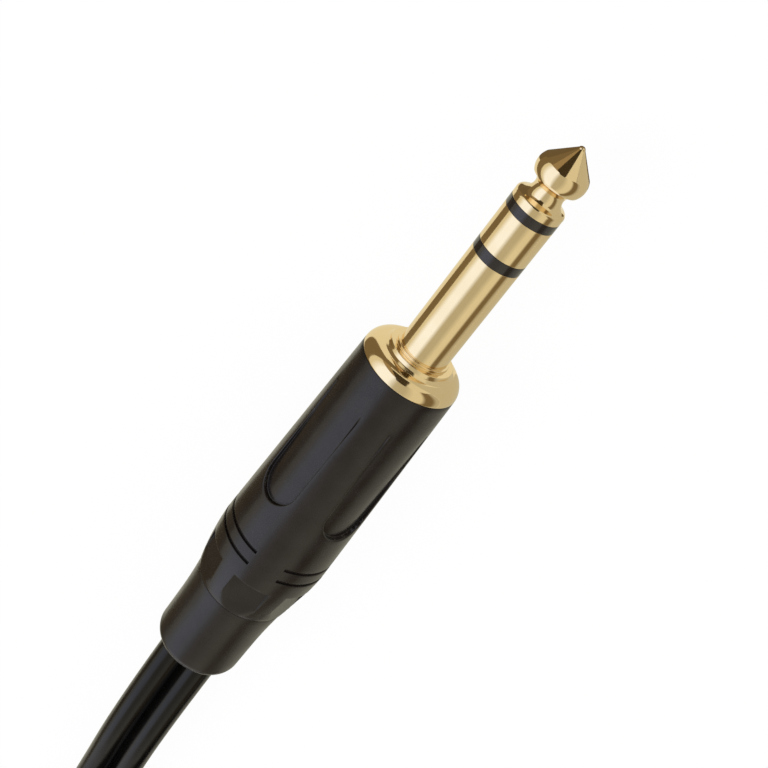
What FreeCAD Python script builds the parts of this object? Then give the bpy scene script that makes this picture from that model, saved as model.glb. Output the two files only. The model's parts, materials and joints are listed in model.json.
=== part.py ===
"""Stereo 6.35 mm jack plug on a twin lead that ends in two phono plugs.

The jack lies along X with its tip towards +X and its axis at z = 0. The origin is where the shank leaves
its hub. The lead runs back along -X to the floor that the housing rests on, where the length that isn't in
use is folded into a hank, and the two phono plugs lie behind it. All lengths are in millimetres.
"""
import FreeCAD, Part
import math
import os

import Sketcher
from FreeCAD import Vector

OUTPUT_FOLDER = "parts"

# Driving dimensions of the jack plug
JACK_SIZES = {
    "shank_radius": 3.175,
    "sleeve_length": 14.75,
    "rear_isolator_length": 1.35,
    "ring_length": 5.0,
    "front_isolator_length": 1.2,
    "tip_collar_length": 0.75,
    "tip_collar_round": 0.4,
    "tip_collar_arc": 0.48,
    "tip_neck_length": 2.5,
    "tip_neck_arc": 1.3,
    "tip_edge_drop": 0.3,
    "tip_shoulder_length": 2.1,
    "tip_shoulder_arc": 2.0,
    "tip_cone_length": 2.55,
    "tip_nose_radius": 0.42,
    "tip_nose_length": 0.3,
    "tip_nose_arc": 0.44,
    "rod_radius": 0.95,
    "rivet_radius": 1.5,
    "rivet_length": 0.7,
    "rivet_end_radius": 1.05,
    "tube_gap": 0.03,
    "tube_wall": 0.38,
    "hub_radius": 3.5,
    "hub_length": 0.35,
    "step_radius": 4.25,
    "step_length": 0.5,
    "valley_radius": 4.7,
    "valley_length": 0.3,
    "flange_radius": 6.5,
    "flange_length": 1.9,
    "flange_arc": 1.9,
    "thread_radius": 5.3,
    "thread_length": 5.95,
    "thread_clearance": 0.06,
    "boss_radius": 4.75,
    "boss_length": 2.5,
    "lug_thickness": 0.45,
    "ground_lug_radius": 4.5,
    "tongue_width": 3.0,
    "tongue_drop": 4.05,
    "tongue_low_length": 5.0,
    "tongue_rise_length": 5.5,
    "clamp_length": 5.0,
    "clamp_lead": 3.0,
    "clamp_rear_gap": 0.25,
    "clamp_sheet": 0.36,
    "clamp_lip": 1.4,
    "clamp_gap": 0.05,
    "washer_thickness": 0.75,
    "front_washer_radius": 3.9,
    "rear_washer_radius": 3.0,
    "ring_lug_radius": 3.9,
    "ring_lug_bore": 1.8,
    "tip_lug_radius": 3.2,
    "solder_tab_width": 2.4,
    "solder_tab_sheet": 0.68,
    "solder_tab_length": 7.0,
    "tube_outer_radius": 5.1,
    "tube_sleeve_wall": 0.3,
    "tube_clamp_gap": 2.45,
    "housing_front_chamfer": 0.18,
    "housing_taper_length": 32.35,
    "housing_widest_radius": 7.6,
    "housing_tail_length": 8.6,
    "housing_rear_radius": 6.65,
    "housing_tail_arc": 50.0,
    "cavity_radius": 5.5,
    "lip_radius": 5.45,
    "lip_length": 6.6,
    "recess_radius": 6.0,
    "recess_length": 1.2,
    "seam_gap": 0.05,
    "seam_chamfer": 0.15,
    "panel_floor_radius": 6.7,
    "panel_width": 6.1,
    "panel_setback": 12.05,
    "wedge_floor": 6.58,
    "wedge_width": 5.0,
    "wedge_setback": 2.6,
    "groove_width": 0.5,
    "groove_depth": 0.35,
    "groove_lead": 2.45,
    "groove_pitch": 2.1,
    "groove_angle": 148.0,
    "boot_clearance": 0.05,
    "boot_waist_length": 6.65,
    "boot_waist_radius": 6.15,
    "boot_waist_arc": 80.0,
    "boot_length": 13.95,
    "boot_rear_radius": 6.1,
    "boot_round": 1.8,
    "cable_hole_gap": 0.35,
}

# Driving dimensions of the lead
LEAD_SIZES = {
    "jacket_radius": 2.1,
    "jacket_pitch": 4.4,
    "web_height": 0.9,
    "wire_radius": 0.7,
    "shield_radius": 0.45,
    "hank_front": 122.0,
    "hank_line": 3.2,
    "hank_run": 80.0,
    "hank_turn_radius": 26.0,
    "hank_layer": 4.3,
    "strap_thickness": 0.6,
    "strap_width": 10.0,
    "strap_place": 40.0,
    "strap_gap": 0.03,
    "third_layer_angle": 40.0,
}

# Driving dimensions of a phono plug, measured from the front face of its flange
PHONO_SIZES = {
    "pin_radius": 1.6,
    "pin_reach": 14.0,
    "pin_nose": 1.2,
    "pin_end_radius": 0.45,
    "pin_nose_arc": 1.44,
    "pin_stem_radius": 1.25,
    "cup_length": 3.0,
    "insulator_radius": 3.15,
    "insulator_collar_radius": 4.0,
    "insulator_collar_length": 1.5,
    "insulator_gap": 0.05,
    "ground_outer_radius": 4.75,
    "ground_inner_radius": 4.15,
    "ground_length": 8.2,
    "ground_slot_width": 0.8,
    "ground_slot_length": 6.2,
    "phono_flange_radius": 5.6,
    "phono_flange_length": 1.5,
    "phono_thread_radius": 5.0,
    "phono_thread_length": 5.0,
    "phono_boss_radius": 4.5,
    "phono_boss_length": 1.0,
    "phono_lug_thickness": 0.45,
    "phono_lug_radius": 4.2,
    "phono_lug_bore": 1.875,
    "phono_tongue_width": 2.6,
    "phono_tongue_drop": 3.3,
    "phono_clamp_length": 4.0,
    "tail_start": 16.0,
    "barrel_radius": 6.05,
    "barrel_front_chamfer": 0.3,
    "barrel_length": 24.4,
    "barrel_taper_length": 5.5,
    "barrel_rear_radius": 5.3,
    "barrel_lip_radius": 3.55,
    "barrel_lip_length": 4.0,
    "band_place": 16.2,
    "band_width": 2.5,
    "band_depth": 0.45,
    "band_gap": 0.02,
    "phono_boot_flange_radius": 4.6,
    "phono_boot_flange_length": 1.0,
    "phono_boot_radius": 4.5,
    "phono_boot_rear_radius": 3.4,
    "phono_boot_length": 10.9,
    "tail_hole_gap": 0.45,
}

# Where the front faces of the two phono plugs' flanges lie: distance behind the origin, then place across
PHONO_PLACES = {
    "left": (278.0, 1.5),
    "right": (287.0, -11.0),
}

# The twin lead's route from behind the boot to the hank, then each tail's, from its split to its plug
TWIN_ROUTE = [(-70.0, 0.0, 0.0), (-103.5, -2.9, -4.7), (-122.0, -3.2, -4.9)]
TAIL_ROUTES = {
    "left": [
        (-122.0, -1.0, 3.8),
        (-147.0, -0.7, 3.9),
        (-174.5, -1.2, 3.9),
        (-202.5, -0.5, 5.6),
        (-232.0, 1.5, -1.55),
        (-262.0, 1.5, -1.55),
    ],
    "right": [
        (-122.0, -5.4, 3.8),
        (-149.0, -5.1, 3.9),
        (-179.5, -5.6, 3.9),
        (-210.5, -6.6, 7.4),
        (-240.5, -11.0, -1.55),
        (-271.0, -11.0, -1.55),
    ],
}
ARC_SHARE = 0.45

# How the cores and the screens run inside the housing. The screens go from the jackets' end to where the
# tongue drops, as (share of that way, across, above the tongue)
CORE_HEIGHT = 0.5
CORE_BEND = 2.75
CORE_OVERLAP = 4.5
SCREEN_ROUTE = [(0.0, 2.2, 0.2), (0.3, 1.76, 0.1), (0.65, 0.9, 0.0), (0.95, 0.75, 0.0)]

FULL_TURN = 360.0


class Size:
    """A length that carries its number and the sheet expression that gives it."""

    def __init__(self, number, text):
        self.number = number
        self.text = text

    @staticmethod
    def of(other):
        return other if isinstance(other, Size) else Size(float(other), repr(float(other)))

    def __add__(self, other):
        other = Size.of(other)
        return Size(self.number + other.number, f"({self.text} + {other.text})")

    def __sub__(self, other):
        other = Size.of(other)
        return Size(self.number - other.number, f"({self.text} - {other.text})")

    def __mul__(self, other):
        other = Size.of(other)
        return Size(self.number * other.number, f"({self.text} * {other.text})")

    def __truediv__(self, other):
        other = Size.of(other)
        return Size(self.number / other.number, f"({self.text} / {other.text})")

    def __radd__(self, other):
        return Size.of(other) + self

    def __rsub__(self, other):
        return Size.of(other) - self

    def __rmul__(self, other):
        return Size.of(other) * self

    def __neg__(self):
        return Size(-self.number, f"(-1 * {self.text})")


class Sizes:
    """The sheet's cells by alias."""

    def __init__(self, sheet, names):
        for name in names:
            setattr(self, name, Size(float(sheet.get(name)), f"{sheet.Name}.{name}"))


def make_sheet(doc):
    """Writes every driving dimension to the sheet, with its alias beside it."""
    sheet = doc.addObject("Spreadsheet::Sheet", "Sizes")
    names = {**JACK_SIZES, **LEAD_SIZES, **PHONO_SIZES}
    for row, (name, number) in enumerate(names.items(), start=1):
        sheet.set(f"A{row}", name)
        sheet.set(f"B{row}", str(number))
        sheet.setAlias(f"B{row}", name)
    doc.recompute()
    return Sizes(sheet, names)


# Sketches and features


def make_body(doc, label, place=None):
    body = doc.addObject("PartDesign::Body", label)
    body.Label = label
    body.AllowCompound = True
    if place is not None:
        body.Placement = place
    return body


def add_sketch(body, name, role, offset=None):
    """A sketch on one of the body's own origin planes, lifted along the plane's normal by offset."""
    sketch = body.newObject("Sketcher::SketchObject", f"{body.Name}_{name}")
    plane = next(f for f in body.Origin.OriginFeatures if f.Role == role)
    sketch.AttachmentSupport = [(plane, "")]
    sketch.MapMode = "FlatFace"
    if offset is not None:
        sketch.setExpression("AttachmentOffset.Base.z", offset.text)
    return sketch


def bind(sketch, kind, elements, size):
    """Adds a measured constraint and ties it to its size."""
    index = sketch.addConstraint(Sketcher.Constraint(kind, *elements, size.number))
    name = f"{kind.lower()}_{index}"
    sketch.renameConstraint(index, name)
    sketch.setExpression(f"Constraints.{name}", size.text)


def arc_between(start, end, radius):
    """The short arc from start to end. A positive radius bends it to the left of the way there."""
    middle = (start + end) * 0.5
    half = (end - start).Length / 2
    rise = math.sqrt(max(radius * radius - half * half, 0.0))
    along = (end - start).normalize()
    left = Vector(-along.y, along.x, 0)
    side = 1.0 if radius > 0 else -1.0
    centre = middle + left * (rise * side)
    first = math.atan2(start.y - centre.y, start.x - centre.x)
    last = math.atan2(end.y - centre.y, end.x - centre.x)
    circle = Part.Circle(centre, Vector(0, 0, 1), abs(radius))
    return Part.ArcOfCircle(circle, first, last) if radius > 0 else Part.ArcOfCircle(circle, last, first)


def draw_outline(sketch, corners):
    """Draws a closed outline through the corners, each (across, up) or (across, up, radius of the arc
    that leaves it). An arc with a positive radius turns left, and one with a negative radius right."""
    places = [(Size.of(c[0]), Size.of(c[1])) for c in corners]
    points = [Vector(x.number, y.number, 0) for x, y in places]
    count = len(corners)
    ends = []
    for index, corner in enumerate(corners):
        start = points[index]
        end = points[(index + 1) % count]
        if len(corner) == 2:
            edge = sketch.addGeometry(Part.LineSegment(start, end), False)
            ends.append((edge, 1, 2))
            continue
        radius = Size.of(corner[2])
        edge = sketch.addGeometry(arc_between(start, end, radius.number), False)
        turns_left = radius.number > 0
        ends.append((edge, 1, 2) if turns_left else (edge, 2, 1))
        bind(sketch, "Radius", (edge,), radius if turns_left else -radius)
    for index in range(count):
        edge, _, last = ends[index]
        following, first, _ = ends[(index + 1) % count]
        sketch.addConstraint(Sketcher.Constraint("Coincident", edge, last, following, first))
    for (edge, first, _), (across, up) in zip(ends, places):
        bind(sketch, "DistanceX", (-1, 1, edge, first), across)
        bind(sketch, "DistanceY", (-1, 1, edge, first), up)


def draw_circle(sketch, radius, centre=(0, 0)):
    across, up = Size.of(centre[0]), Size.of(centre[1])
    circle = Part.Circle(Vector(across.number, up.number, 0), Vector(0, 0, 1), radius.number)
    edge = sketch.addGeometry(circle, False)
    bind(sketch, "Radius", (edge,), radius)
    bind(sketch, "DistanceX", (-1, 1, edge, 3), across)
    bind(sketch, "DistanceY", (-1, 1, edge, 3), up)


def box_corners(low_across, high_across, low_up, high_up):
    return [(low_across, low_up), (high_across, low_up), (high_across, high_up), (low_across, high_up)]


def slot_corners(half_width, half_height):
    """A slot with round ends, drawn anticlockwise in quarter turns."""
    straight = half_width - half_height
    return [
        (-straight, -half_height),
        (straight, -half_height, half_height),
        (half_width, 0, half_height),
        (straight, half_height),
        (-straight, half_height, half_height),
        (-half_width, 0, half_height),
    ]


def turn(body, corners, name="profile"):
    """Turns an outline of (along, radius) corners about the X axis."""
    sketch = add_sketch(body, name, "XZ_Plane")
    draw_outline(sketch, corners)
    revolution = body.newObject("PartDesign::Revolution", f"{body.Name}_{name}_turned")
    revolution.Profile = (sketch, [""])
    revolution.ReferenceAxis = (sketch, ["H_Axis"])
    revolution.Angle = FULL_TURN
    return revolution


def push(body, kind, sketch, length, reversed_way=False, both_ways=False):
    """Pads or pockets a sketch along its plane's normal."""
    feature = body.newObject(f"PartDesign::{kind}", f"{sketch.Name}_{kind.lower()}")
    feature.Profile = (sketch, [""])
    feature.setExpression("Length", length.text)
    feature.Reversed = reversed_way
    feature.Midplane = both_ways
    return feature


def repeat_round(body, originals, count, axis_role="X_Axis"):
    """Repeats features evenly round one of the body's own axes."""
    axis = next(f for f in body.Origin.OriginFeatures if f.Role == axis_role)
    pattern = body.newObject("PartDesign::PolarPattern", f"{originals[0].Name}_round")
    pattern.Originals = originals
    pattern.Axis = (axis, [""])
    pattern.Angle = FULL_TURN
    pattern.Occurrences = count
    body.Tip = pattern
    return pattern


def washer(doc, label, rear, front, bore, radius, place=None):
    """A flat ring from rear to front along X."""
    body = make_body(doc, label, place)
    turn(body, [(rear, bore), (front, bore), (front, radius), (rear, radius)])
    return body


# Places along the jack's axis


def jack_places(s):
    """The stations along X that the jack's pieces share, from the sizes of what lies between them."""
    p = {}
    p["sleeve_front"] = s.sleeve_length
    p["ring_rear"] = p["sleeve_front"] + s.rear_isolator_length
    p["ring_front"] = p["ring_rear"] + s.ring_length
    p["tip_rear"] = p["ring_front"] + s.front_isolator_length
    p["step_front"] = -s.hub_length
    p["step_rear"] = p["step_front"] - s.step_length
    p["dome_front"] = p["step_rear"] - s.valley_length
    p["flange_rear"] = p["dome_front"] - s.flange_length
    p["thread_rear"] = p["flange_rear"] - s.thread_length
    p["boss_rear"] = p["thread_rear"] - s.boss_length
    p["ground_lug_rear"] = p["boss_rear"] - s.lug_thickness
    p["front_washer_rear"] = p["ground_lug_rear"] - s.washer_thickness
    p["ring_lug_rear"] = p["front_washer_rear"] - s.lug_thickness
    p["rear_washer_rear"] = p["ring_lug_rear"] - s.washer_thickness
    p["tip_lug_rear"] = p["rear_washer_rear"] - s.lug_thickness
    p["housing_widest"] = p["flange_rear"] - s.housing_taper_length
    p["housing_rear"] = p["housing_widest"] - s.housing_tail_length
    p["lip_front"] = p["housing_rear"] + s.lip_length
    p["recess_front"] = p["lip_front"] + s.recess_length
    p["boot_front"] = p["housing_rear"] - s.seam_gap
    p["boot_rear"] = p["boot_front"] - s.boot_length
    p["boot_flange_front"] = p["recess_front"] - s.boot_clearance
    p["clamp_front"] = p["boot_flange_front"] + s.clamp_rear_gap + s.clamp_length
    p["jacket_end"] = p["clamp_front"] - s.clamp_lead
    p["tongue_low_end"] = p["ground_lug_rear"] - s.tongue_low_length
    p["tongue_raised"] = p["tongue_low_end"] - s.tongue_rise_length
    return p


def tube_radii(s):
    """Inner and outer radii of the nested tubes round the tip's rod, from the inside out."""
    radii = {}
    inner = s.rod_radius
    for name in ("tip_tube", "ring_tube", "outer_tube"):
        bore = inner + s.tube_gap
        inner = bore + s.tube_wall
        radii[name] = (bore, inner)
    radii["sleeve_bore"] = inner + s.tube_gap
    return radii


# Contacts and isolators of the jack


def make_tip_contact(doc, s, p):
    collar = p["tip_rear"] + s.tip_collar_length
    neck = collar + s.tip_collar_round
    shoulder = neck + s.tip_neck_length
    cone = shoulder + s.tip_shoulder_length
    nose = cone + s.tip_cone_length
    edge = s.shank_radius - s.tip_edge_drop
    rivet_rear = p["tip_lug_rear"] - s.rivet_length
    body = make_body(doc, "tip_contact")
    turn(body, [
        (rivet_rear, 0),
        (nose + s.tip_nose_length, 0, s.tip_nose_arc),
        (nose, s.tip_nose_radius),
        (cone, edge, s.tip_shoulder_arc),
        (shoulder, edge, -s.tip_neck_arc),
        (neck, edge, s.tip_collar_arc),
        (collar, s.shank_radius),
        (p["tip_rear"], s.shank_radius),
        (p["tip_rear"], s.rod_radius),
        (p["tip_lug_rear"], s.rod_radius),
        (p["tip_lug_rear"], s.rivet_radius),
        (rivet_rear, s.rivet_end_radius),
    ])
    return body


def collared_tube(doc, label, radii, tube_rear, collar_rear, collar_front, collar_radius):
    """A tube round the axis with a collar at its front, as an isolator or a ring contact has."""
    bore, outer = radii
    body = make_body(doc, label)
    turn(body, [
        (tube_rear, bore),
        (collar_front, bore),
        (collar_front, collar_radius),
        (collar_rear, collar_radius),
        (collar_rear, outer),
        (tube_rear, outer),
    ])
    return body


def make_stack(doc, s, p):
    """The isolators and the ring contact, flush with the shank, whose tubes nest round the tip's rod."""
    radii = tube_radii(s)
    return [
        collared_tube(doc, "front_isolator", radii["tip_tube"], p["rear_washer_rear"],
                      p["ring_front"], p["tip_rear"], s.shank_radius),
        collared_tube(doc, "ring_contact", radii["ring_tube"], p["ring_lug_rear"],
                      p["ring_rear"], p["ring_front"], s.shank_radius),
        collared_tube(doc, "rear_isolator", radii["outer_tube"], p["ground_lug_rear"],
                      p["sleeve_front"], p["ring_rear"], s.shank_radius),
    ]


def make_sleeve_contact(doc, s, p):
    bore = tube_radii(s)["sleeve_bore"]
    body = make_body(doc, "sleeve_contact")
    turn(body, [
        (p["boss_rear"], bore),
        (p["sleeve_front"], bore),
        (p["sleeve_front"], s.shank_radius),
        (0, s.shank_radius),
        (0, s.hub_radius),
        (p["step_front"], s.hub_radius),
        (p["step_front"], s.step_radius),
        (p["step_rear"], s.step_radius),
        (p["dome_front"], s.valley_radius, s.flange_arc),
        (p["flange_rear"], s.flange_radius),
        (p["flange_rear"], s.thread_radius),
        (p["thread_rear"], s.thread_radius),
        (p["thread_rear"], s.boss_radius),
        (p["boss_rear"], s.boss_radius),
    ])
    return body


# Lugs, washers and wires of the jack


def clamp_section(s):
    """Half width inside, floor height and sheet of the clamp round the twin lead."""
    half = s.jacket_pitch / 2 + s.jacket_radius + s.clamp_gap
    floor = -s.jacket_radius - s.clamp_gap
    return half, floor


def make_ground_lug(doc, s, p):
    """A ring against the sleeve's boss, a tongue that steps up behind the stack, and the clamp's cradle."""
    sheet = s.lug_thickness
    side_sheet = s.clamp_sheet
    half, floor = clamp_section(s)
    body = make_body(doc, "ground_lug")
    disc = add_sketch(body, "disc", "YZ_Plane", p["ground_lug_rear"])
    draw_circle(disc, s.ground_lug_radius)
    draw_circle(disc, tube_radii(s)["sleeve_bore"])
    push(body, "Pad", disc, sheet)

    clamp_front = p["clamp_front"]
    low_end = p["tongue_low_end"]
    raised = p["tongue_raised"]
    tongue = add_sketch(body, "tongue", "XZ_Plane")
    draw_outline(tongue, [
        (p["ground_lug_rear"] + sheet / 2, -s.tongue_drop),
        (low_end, -s.tongue_drop),
        (raised, floor),
        (clamp_front, floor),
        (clamp_front, floor - sheet),
        (raised, floor - sheet),
        (low_end, -s.tongue_drop - sheet),
        (p["ground_lug_rear"] + sheet / 2, -s.tongue_drop - sheet),
    ])
    push(body, "Pad", tongue, s.tongue_width, both_ways=True)

    cradle = add_sketch(body, "cradle", "YZ_Plane", clamp_front)
    draw_outline(cradle, [
        (-half - side_sheet, floor - side_sheet),
        (half + side_sheet, floor - side_sheet),
        (half + side_sheet, s.clamp_lip),
        (half, s.clamp_lip),
        (half, floor),
        (-half, floor),
        (-half, s.clamp_lip),
        (-half - side_sheet, s.clamp_lip),
    ])
    push(body, "Pad", cradle, s.clamp_length, reversed_way=True)
    return body


def solder_lug(doc, label, s, rear, bore, radius, side):
    """A disc on the stack with one bent tab that runs back on the side given."""
    body = make_body(doc, label)
    sheet = s.lug_thickness
    disc = add_sketch(body, "disc", "YZ_Plane", rear)
    draw_circle(disc, radius - sheet)
    draw_circle(disc, bore)
    push(body, "Pad", disc, sheet)
    tab = add_sketch(body, "tab", "YZ_Plane", rear + sheet)
    inner = (radius - s.solder_tab_sheet) * side
    outer = radius * side
    half = s.solder_tab_width / 2
    draw_outline(tab, box_corners(inner, outer, -half, half) if side > 0
                 else box_corners(outer, inner, -half, half))
    push(body, "Pad", tab, s.solder_tab_length, reversed_way=True)
    return body


def make_lugs(doc, s, p):
    radii = tube_radii(s)
    tip_bore = s.rod_radius + s.tube_gap
    washer_bore = radii["tip_tube"][1] + s.tube_gap
    return [
        make_ground_lug(doc, s, p),
        washer(doc, "front_washer", p["front_washer_rear"], p["ground_lug_rear"],
               s.ring_lug_bore, s.front_washer_radius),
        solder_lug(doc, "ring_lug", s, p["ring_lug_rear"], s.ring_lug_bore, s.ring_lug_radius, 1),
        washer(doc, "rear_washer", p["rear_washer_rear"], p["ring_lug_rear"],
               washer_bore, s.rear_washer_radius),
        solder_lug(doc, "tip_lug", s, p["tip_lug_rear"], tip_bore, s.tip_lug_radius, -1),
    ]


def make_insulating_tube(doc, s, p):
    front = p["thread_rear"] - s.seam_gap
    return washer(doc, "insulating_tube", p["clamp_front"] + s.tube_clamp_gap, front,
                  s.tube_outer_radius - s.tube_sleeve_wall, s.tube_outer_radius)


def rounded_path(points):
    """Straight runs joined by tangent arcs, each as large as its two runs allow, and the arcs' radii."""
    edges = []
    radii = []
    here = points[0]
    for before, corner, after in zip(points, points[1:], points[2:]):
        arriving = (corner - before).normalize()
        leaving = (after - corner).normalize()
        cut = ARC_SHARE * min((corner - before).Length, (after - corner).Length)
        half_turn = arriving.getAngle(leaving) / 2
        radii.append(cut / math.tan(half_turn))
        start = corner - arriving * cut
        end = corner + leaving * cut
        inwards = (leaving - arriving).normalize()
        depth = radii[-1] / math.cos(half_turn) - radii[-1]
        edges.append(Part.LineSegment(here, start).toShape())
        edges.append(Part.Arc(start, corner + inwards * depth, end).toShape())
        here = end
    edges.append(Part.LineSegment(here, points[-1]).toShape())
    return Part.Wire(edges), radii


def add_shape(doc, label, shape):
    feature = doc.addObject("Part::Feature", label)
    feature.Label = label
    feature.Shape = shape
    feature.Placement = FreeCAD.Placement()
    return feature


def round_cord(doc, label, points, radius):
    """A round solid along a path, with its radii and the ratio of its volume to section times length."""
    path, radii = rounded_path(points)
    start = points[0]
    heading = (points[1] - points[0]).normalize()
    section = Part.Wire([Part.Circle(start, heading, radius).toShape()])
    shape = path.makePipeShell([section], True, False)
    expected = math.pi * radius * radius * path.Length
    print(f"{label}: length {path.Length:.1f}, volume over section times length "
          f"{shape.Volume / expected:.4f}, radii {[round(r, 1) for r in radii]}")
    return add_shape(doc, label, shape)


def make_wires(doc, s, p):
    """The cores that reach the two lugs' tabs, and the screens that reach the ground lug's tongue."""
    half_pitch = s.jacket_pitch.number / 2
    start = p["jacket_end"].number
    radius = s.wire_radius.number
    sheet = s.lug_thickness.number
    tab_sheet = s.solder_tab_sheet.number
    tab_face = {
        "ring_wire": (s.ring_lug_radius.number - tab_sheet, 1, p["ring_lug_rear"].number),
        "tip_wire": (s.tip_lug_radius.number - tab_sheet, -1, p["tip_lug_rear"].number),
    }
    made = []
    for label, (face, side, lug_rear) in tab_face.items():
        tab_end = lug_rear + sheet - s.solder_tab_length.number
        across = side * (face - radius)
        bend = (start + tab_end) / 2
        points = [
            Vector(start, side * half_pitch, CORE_HEIGHT),
            Vector(bend - CORE_BEND, side * half_pitch, CORE_HEIGHT),
            Vector(bend + CORE_BEND, across, 0),
            Vector(tab_end + CORE_OVERLAP, across, 0),
        ]
        made.append(round_cord(doc, label, points, radius))
    thin = s.shield_radius.number
    _, floor = clamp_section(s)
    way = p["tongue_raised"].number - start
    for label, side in (("left_shield", 1), ("right_shield", -1)):
        tongue = floor.number + thin
        points = [
            Vector(start + share * way, side * across, tongue + above)
            for share, across, above in SCREEN_ROUTE
        ]
        made.append(round_cord(doc, label, points, thin))
    return made


# Housing and boot


def make_panel_cutter(doc, s, p):
    """Four blocks with round rear ends, hollowed so that their undersides are one cylinder."""
    body = make_body(doc, "panel_cutter")
    half = s.panel_width / 2
    rear = p["housing_widest"] + s.panel_setback
    front = p["flange_rear"] + s.seam_gap
    plan = add_sketch(body, "plan", "XY_Plane")
    draw_outline(plan, [
        (rear, -half),
        (front, -half),
        (front, half),
        (rear, half, half),
        (rear - half, 0, half),
    ])
    block = push(body, "Pad", plan, s.housing_widest_radius + s.panel_floor_radius)
    repeat_round(body, [block], 4)
    core = add_sketch(body, "core", "YZ_Plane")
    draw_circle(core, s.panel_floor_radius)
    push(body, "Pocket", core, s.housing_taper_length * 4, both_ways=True)
    body.Placement = FreeCAD.Placement(Vector(), FreeCAD.Rotation(Vector(1, 0, 0), 45.0))
    return body


def make_housing(doc, s, p):
    """The shell: tapered, with a threaded mouth, a recess and a lip that hold the boot, four long panels,
    six flats on the rear taper and two pairs of arc grooves."""
    mouth = s.thread_radius + s.thread_clearance
    chamfer = s.housing_front_chamfer
    seam = s.seam_chamfer
    mouth_rear = p["thread_rear"] - s.seam_gap * 8
    body = make_body(doc, "housing")
    turn(body, [
        (p["flange_rear"], mouth),
        (p["flange_rear"], s.flange_radius - chamfer),
        (p["flange_rear"] - chamfer, s.flange_radius),
        (p["housing_widest"], s.housing_widest_radius, s.housing_tail_arc),
        (p["housing_rear"] + seam, s.housing_rear_radius),
        (p["housing_rear"], s.housing_rear_radius - seam),
        (p["housing_rear"], s.lip_radius),
        (p["lip_front"], s.lip_radius),
        (p["lip_front"], s.recess_radius),
        (p["recess_front"], s.recess_radius),
        (p["recess_front"], s.cavity_radius),
        (mouth_rear, s.cavity_radius),
        (mouth_rear, mouth),
    ])

    wedge = add_sketch(body, "wedge", "YZ_Plane", p["housing_widest"] - s.wedge_setback)
    half = s.wedge_width / 2
    draw_outline(wedge, box_corners(-half, half, s.wedge_floor, s.wedge_floor + s.housing_widest_radius))
    cut = push(body, "Pocket", wedge, s.housing_tail_length, reversed_way=False)
    repeat_round(body, [cut], 6)

    first = p["housing_widest"] + s.groove_lead
    places = [first, first - s.groove_pitch]
    grooves = []
    for index, place in enumerate(places):
        sketch = add_sketch(body, f"groove_{index}", "XY_Plane")
        half = s.groove_width / 2
        slope = (s.housing_widest_radius - s.flange_radius) / s.housing_taper_length
        surface = s.flange_radius + slope * (p["flange_rear"] - place)
        draw_outline(sketch, box_corners(place - half, place + half,
                                         surface - s.groove_depth, surface + s.groove_depth))
        groove = body.newObject("PartDesign::Groove", f"housing_groove_{index}")
        groove.Profile = (sketch, [""])
        groove.ReferenceAxis = (sketch, ["H_Axis"])
        groove.setExpression("Angle", s.groove_angle.text)
        groove.Midplane = True
        grooves.append(groove)
    repeat_round(body, grooves, 2)

    cutter = make_panel_cutter(doc, s, p)
    panels = body.newObject("PartDesign::Boolean", "housing_panels")
    panels.Type = "Cut"
    panels.setObjects([cutter])
    body.Tip = panels
    return body


def make_boot(doc, s, p):
    """The rear bushing: a flange and a spigot that turn in the housing, and the smooth outer part."""
    spigot = s.lip_radius - s.boot_clearance
    flange = s.recess_radius - s.boot_clearance
    flange_rear = p["lip_front"] + s.boot_clearance
    seam = s.seam_chamfer
    outer_front = s.housing_rear_radius - s.seam_gap * 2
    body = make_body(doc, "boot")
    turn(body, [
        (p["boot_flange_front"], 0),
        (p["boot_flange_front"], flange),
        (flange_rear, flange),
        (flange_rear, spigot),
        (p["boot_front"], spigot),
        (p["boot_front"], outer_front - seam),
        (p["boot_front"] - seam, outer_front, -s.boot_waist_arc),
        (p["boot_front"] - s.boot_waist_length, s.boot_waist_radius),
        (p["boot_rear"] + s.boot_round, s.boot_rear_radius, s.boot_round),
        (p["boot_rear"], s.boot_rear_radius - s.boot_round),
        (p["boot_rear"], 0),
    ])
    hole = add_sketch(body, "hole", "YZ_Plane", p["boot_rear"] - s.boot_round)
    half_width = s.jacket_pitch / 2 + s.jacket_radius + s.cable_hole_gap
    draw_outline(hole, slot_corners(half_width, s.jacket_radius + s.cable_hole_gap))
    push(body, "Pocket", hole, s.boot_length * 3, reversed_way=True)
    return body


# Lead


def twin_section(s, start):
    """The lead's section: two round jackets joined by a narrow web."""
    radius = s.jacket_radius.number
    half_pitch = s.jacket_pitch.number / 2
    half_web = s.web_height.number / 2
    inset = half_pitch - math.sqrt(radius * radius - half_web * half_web)
    corner = [
        Vector(start.x, side * inset, height * half_web)
        for side, height in ((1, -1), (1, 1), (-1, 1), (-1, -1))
    ]
    far = half_pitch + radius
    right = Part.Arc(corner[0], Vector(start.x, far, 0), corner[1]).toShape()
    left = Part.Arc(corner[2], Vector(start.x, -far, 0), corner[3]).toShape()
    top = Part.LineSegment(corner[1], corner[2]).toShape()
    bottom = Part.LineSegment(corner[3], corner[0]).toShape()
    return Part.Wire([right, top, left, bottom])


def make_twin_cable(doc, s):
    jacket_end = jack_places(s)["jacket_end"].number
    points = [Vector(jacket_end, 0, 0)] + [Vector(*place) for place in TWIN_ROUTE]
    path, radii = rounded_path(points)
    section = twin_section(s, points[0])
    sweep = Part.BRepOffsetAPI.MakePipeShell(path)
    sweep.setBiNormalMode(Vector(0, 0, 1))
    sweep.add(section, False, False)
    sweep.build()
    sweep.makeSolid()
    shape = sweep.shape()
    expected = Part.Face(section).Area * path.Length
    print(f"twin_cable: length {path.Length:.1f}, volume over section times length "
          f"{shape.Volume / expected:.4f}, radii {[round(r, 1) for r in radii]}")
    return add_shape(doc, "twin_cable", shape)


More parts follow.
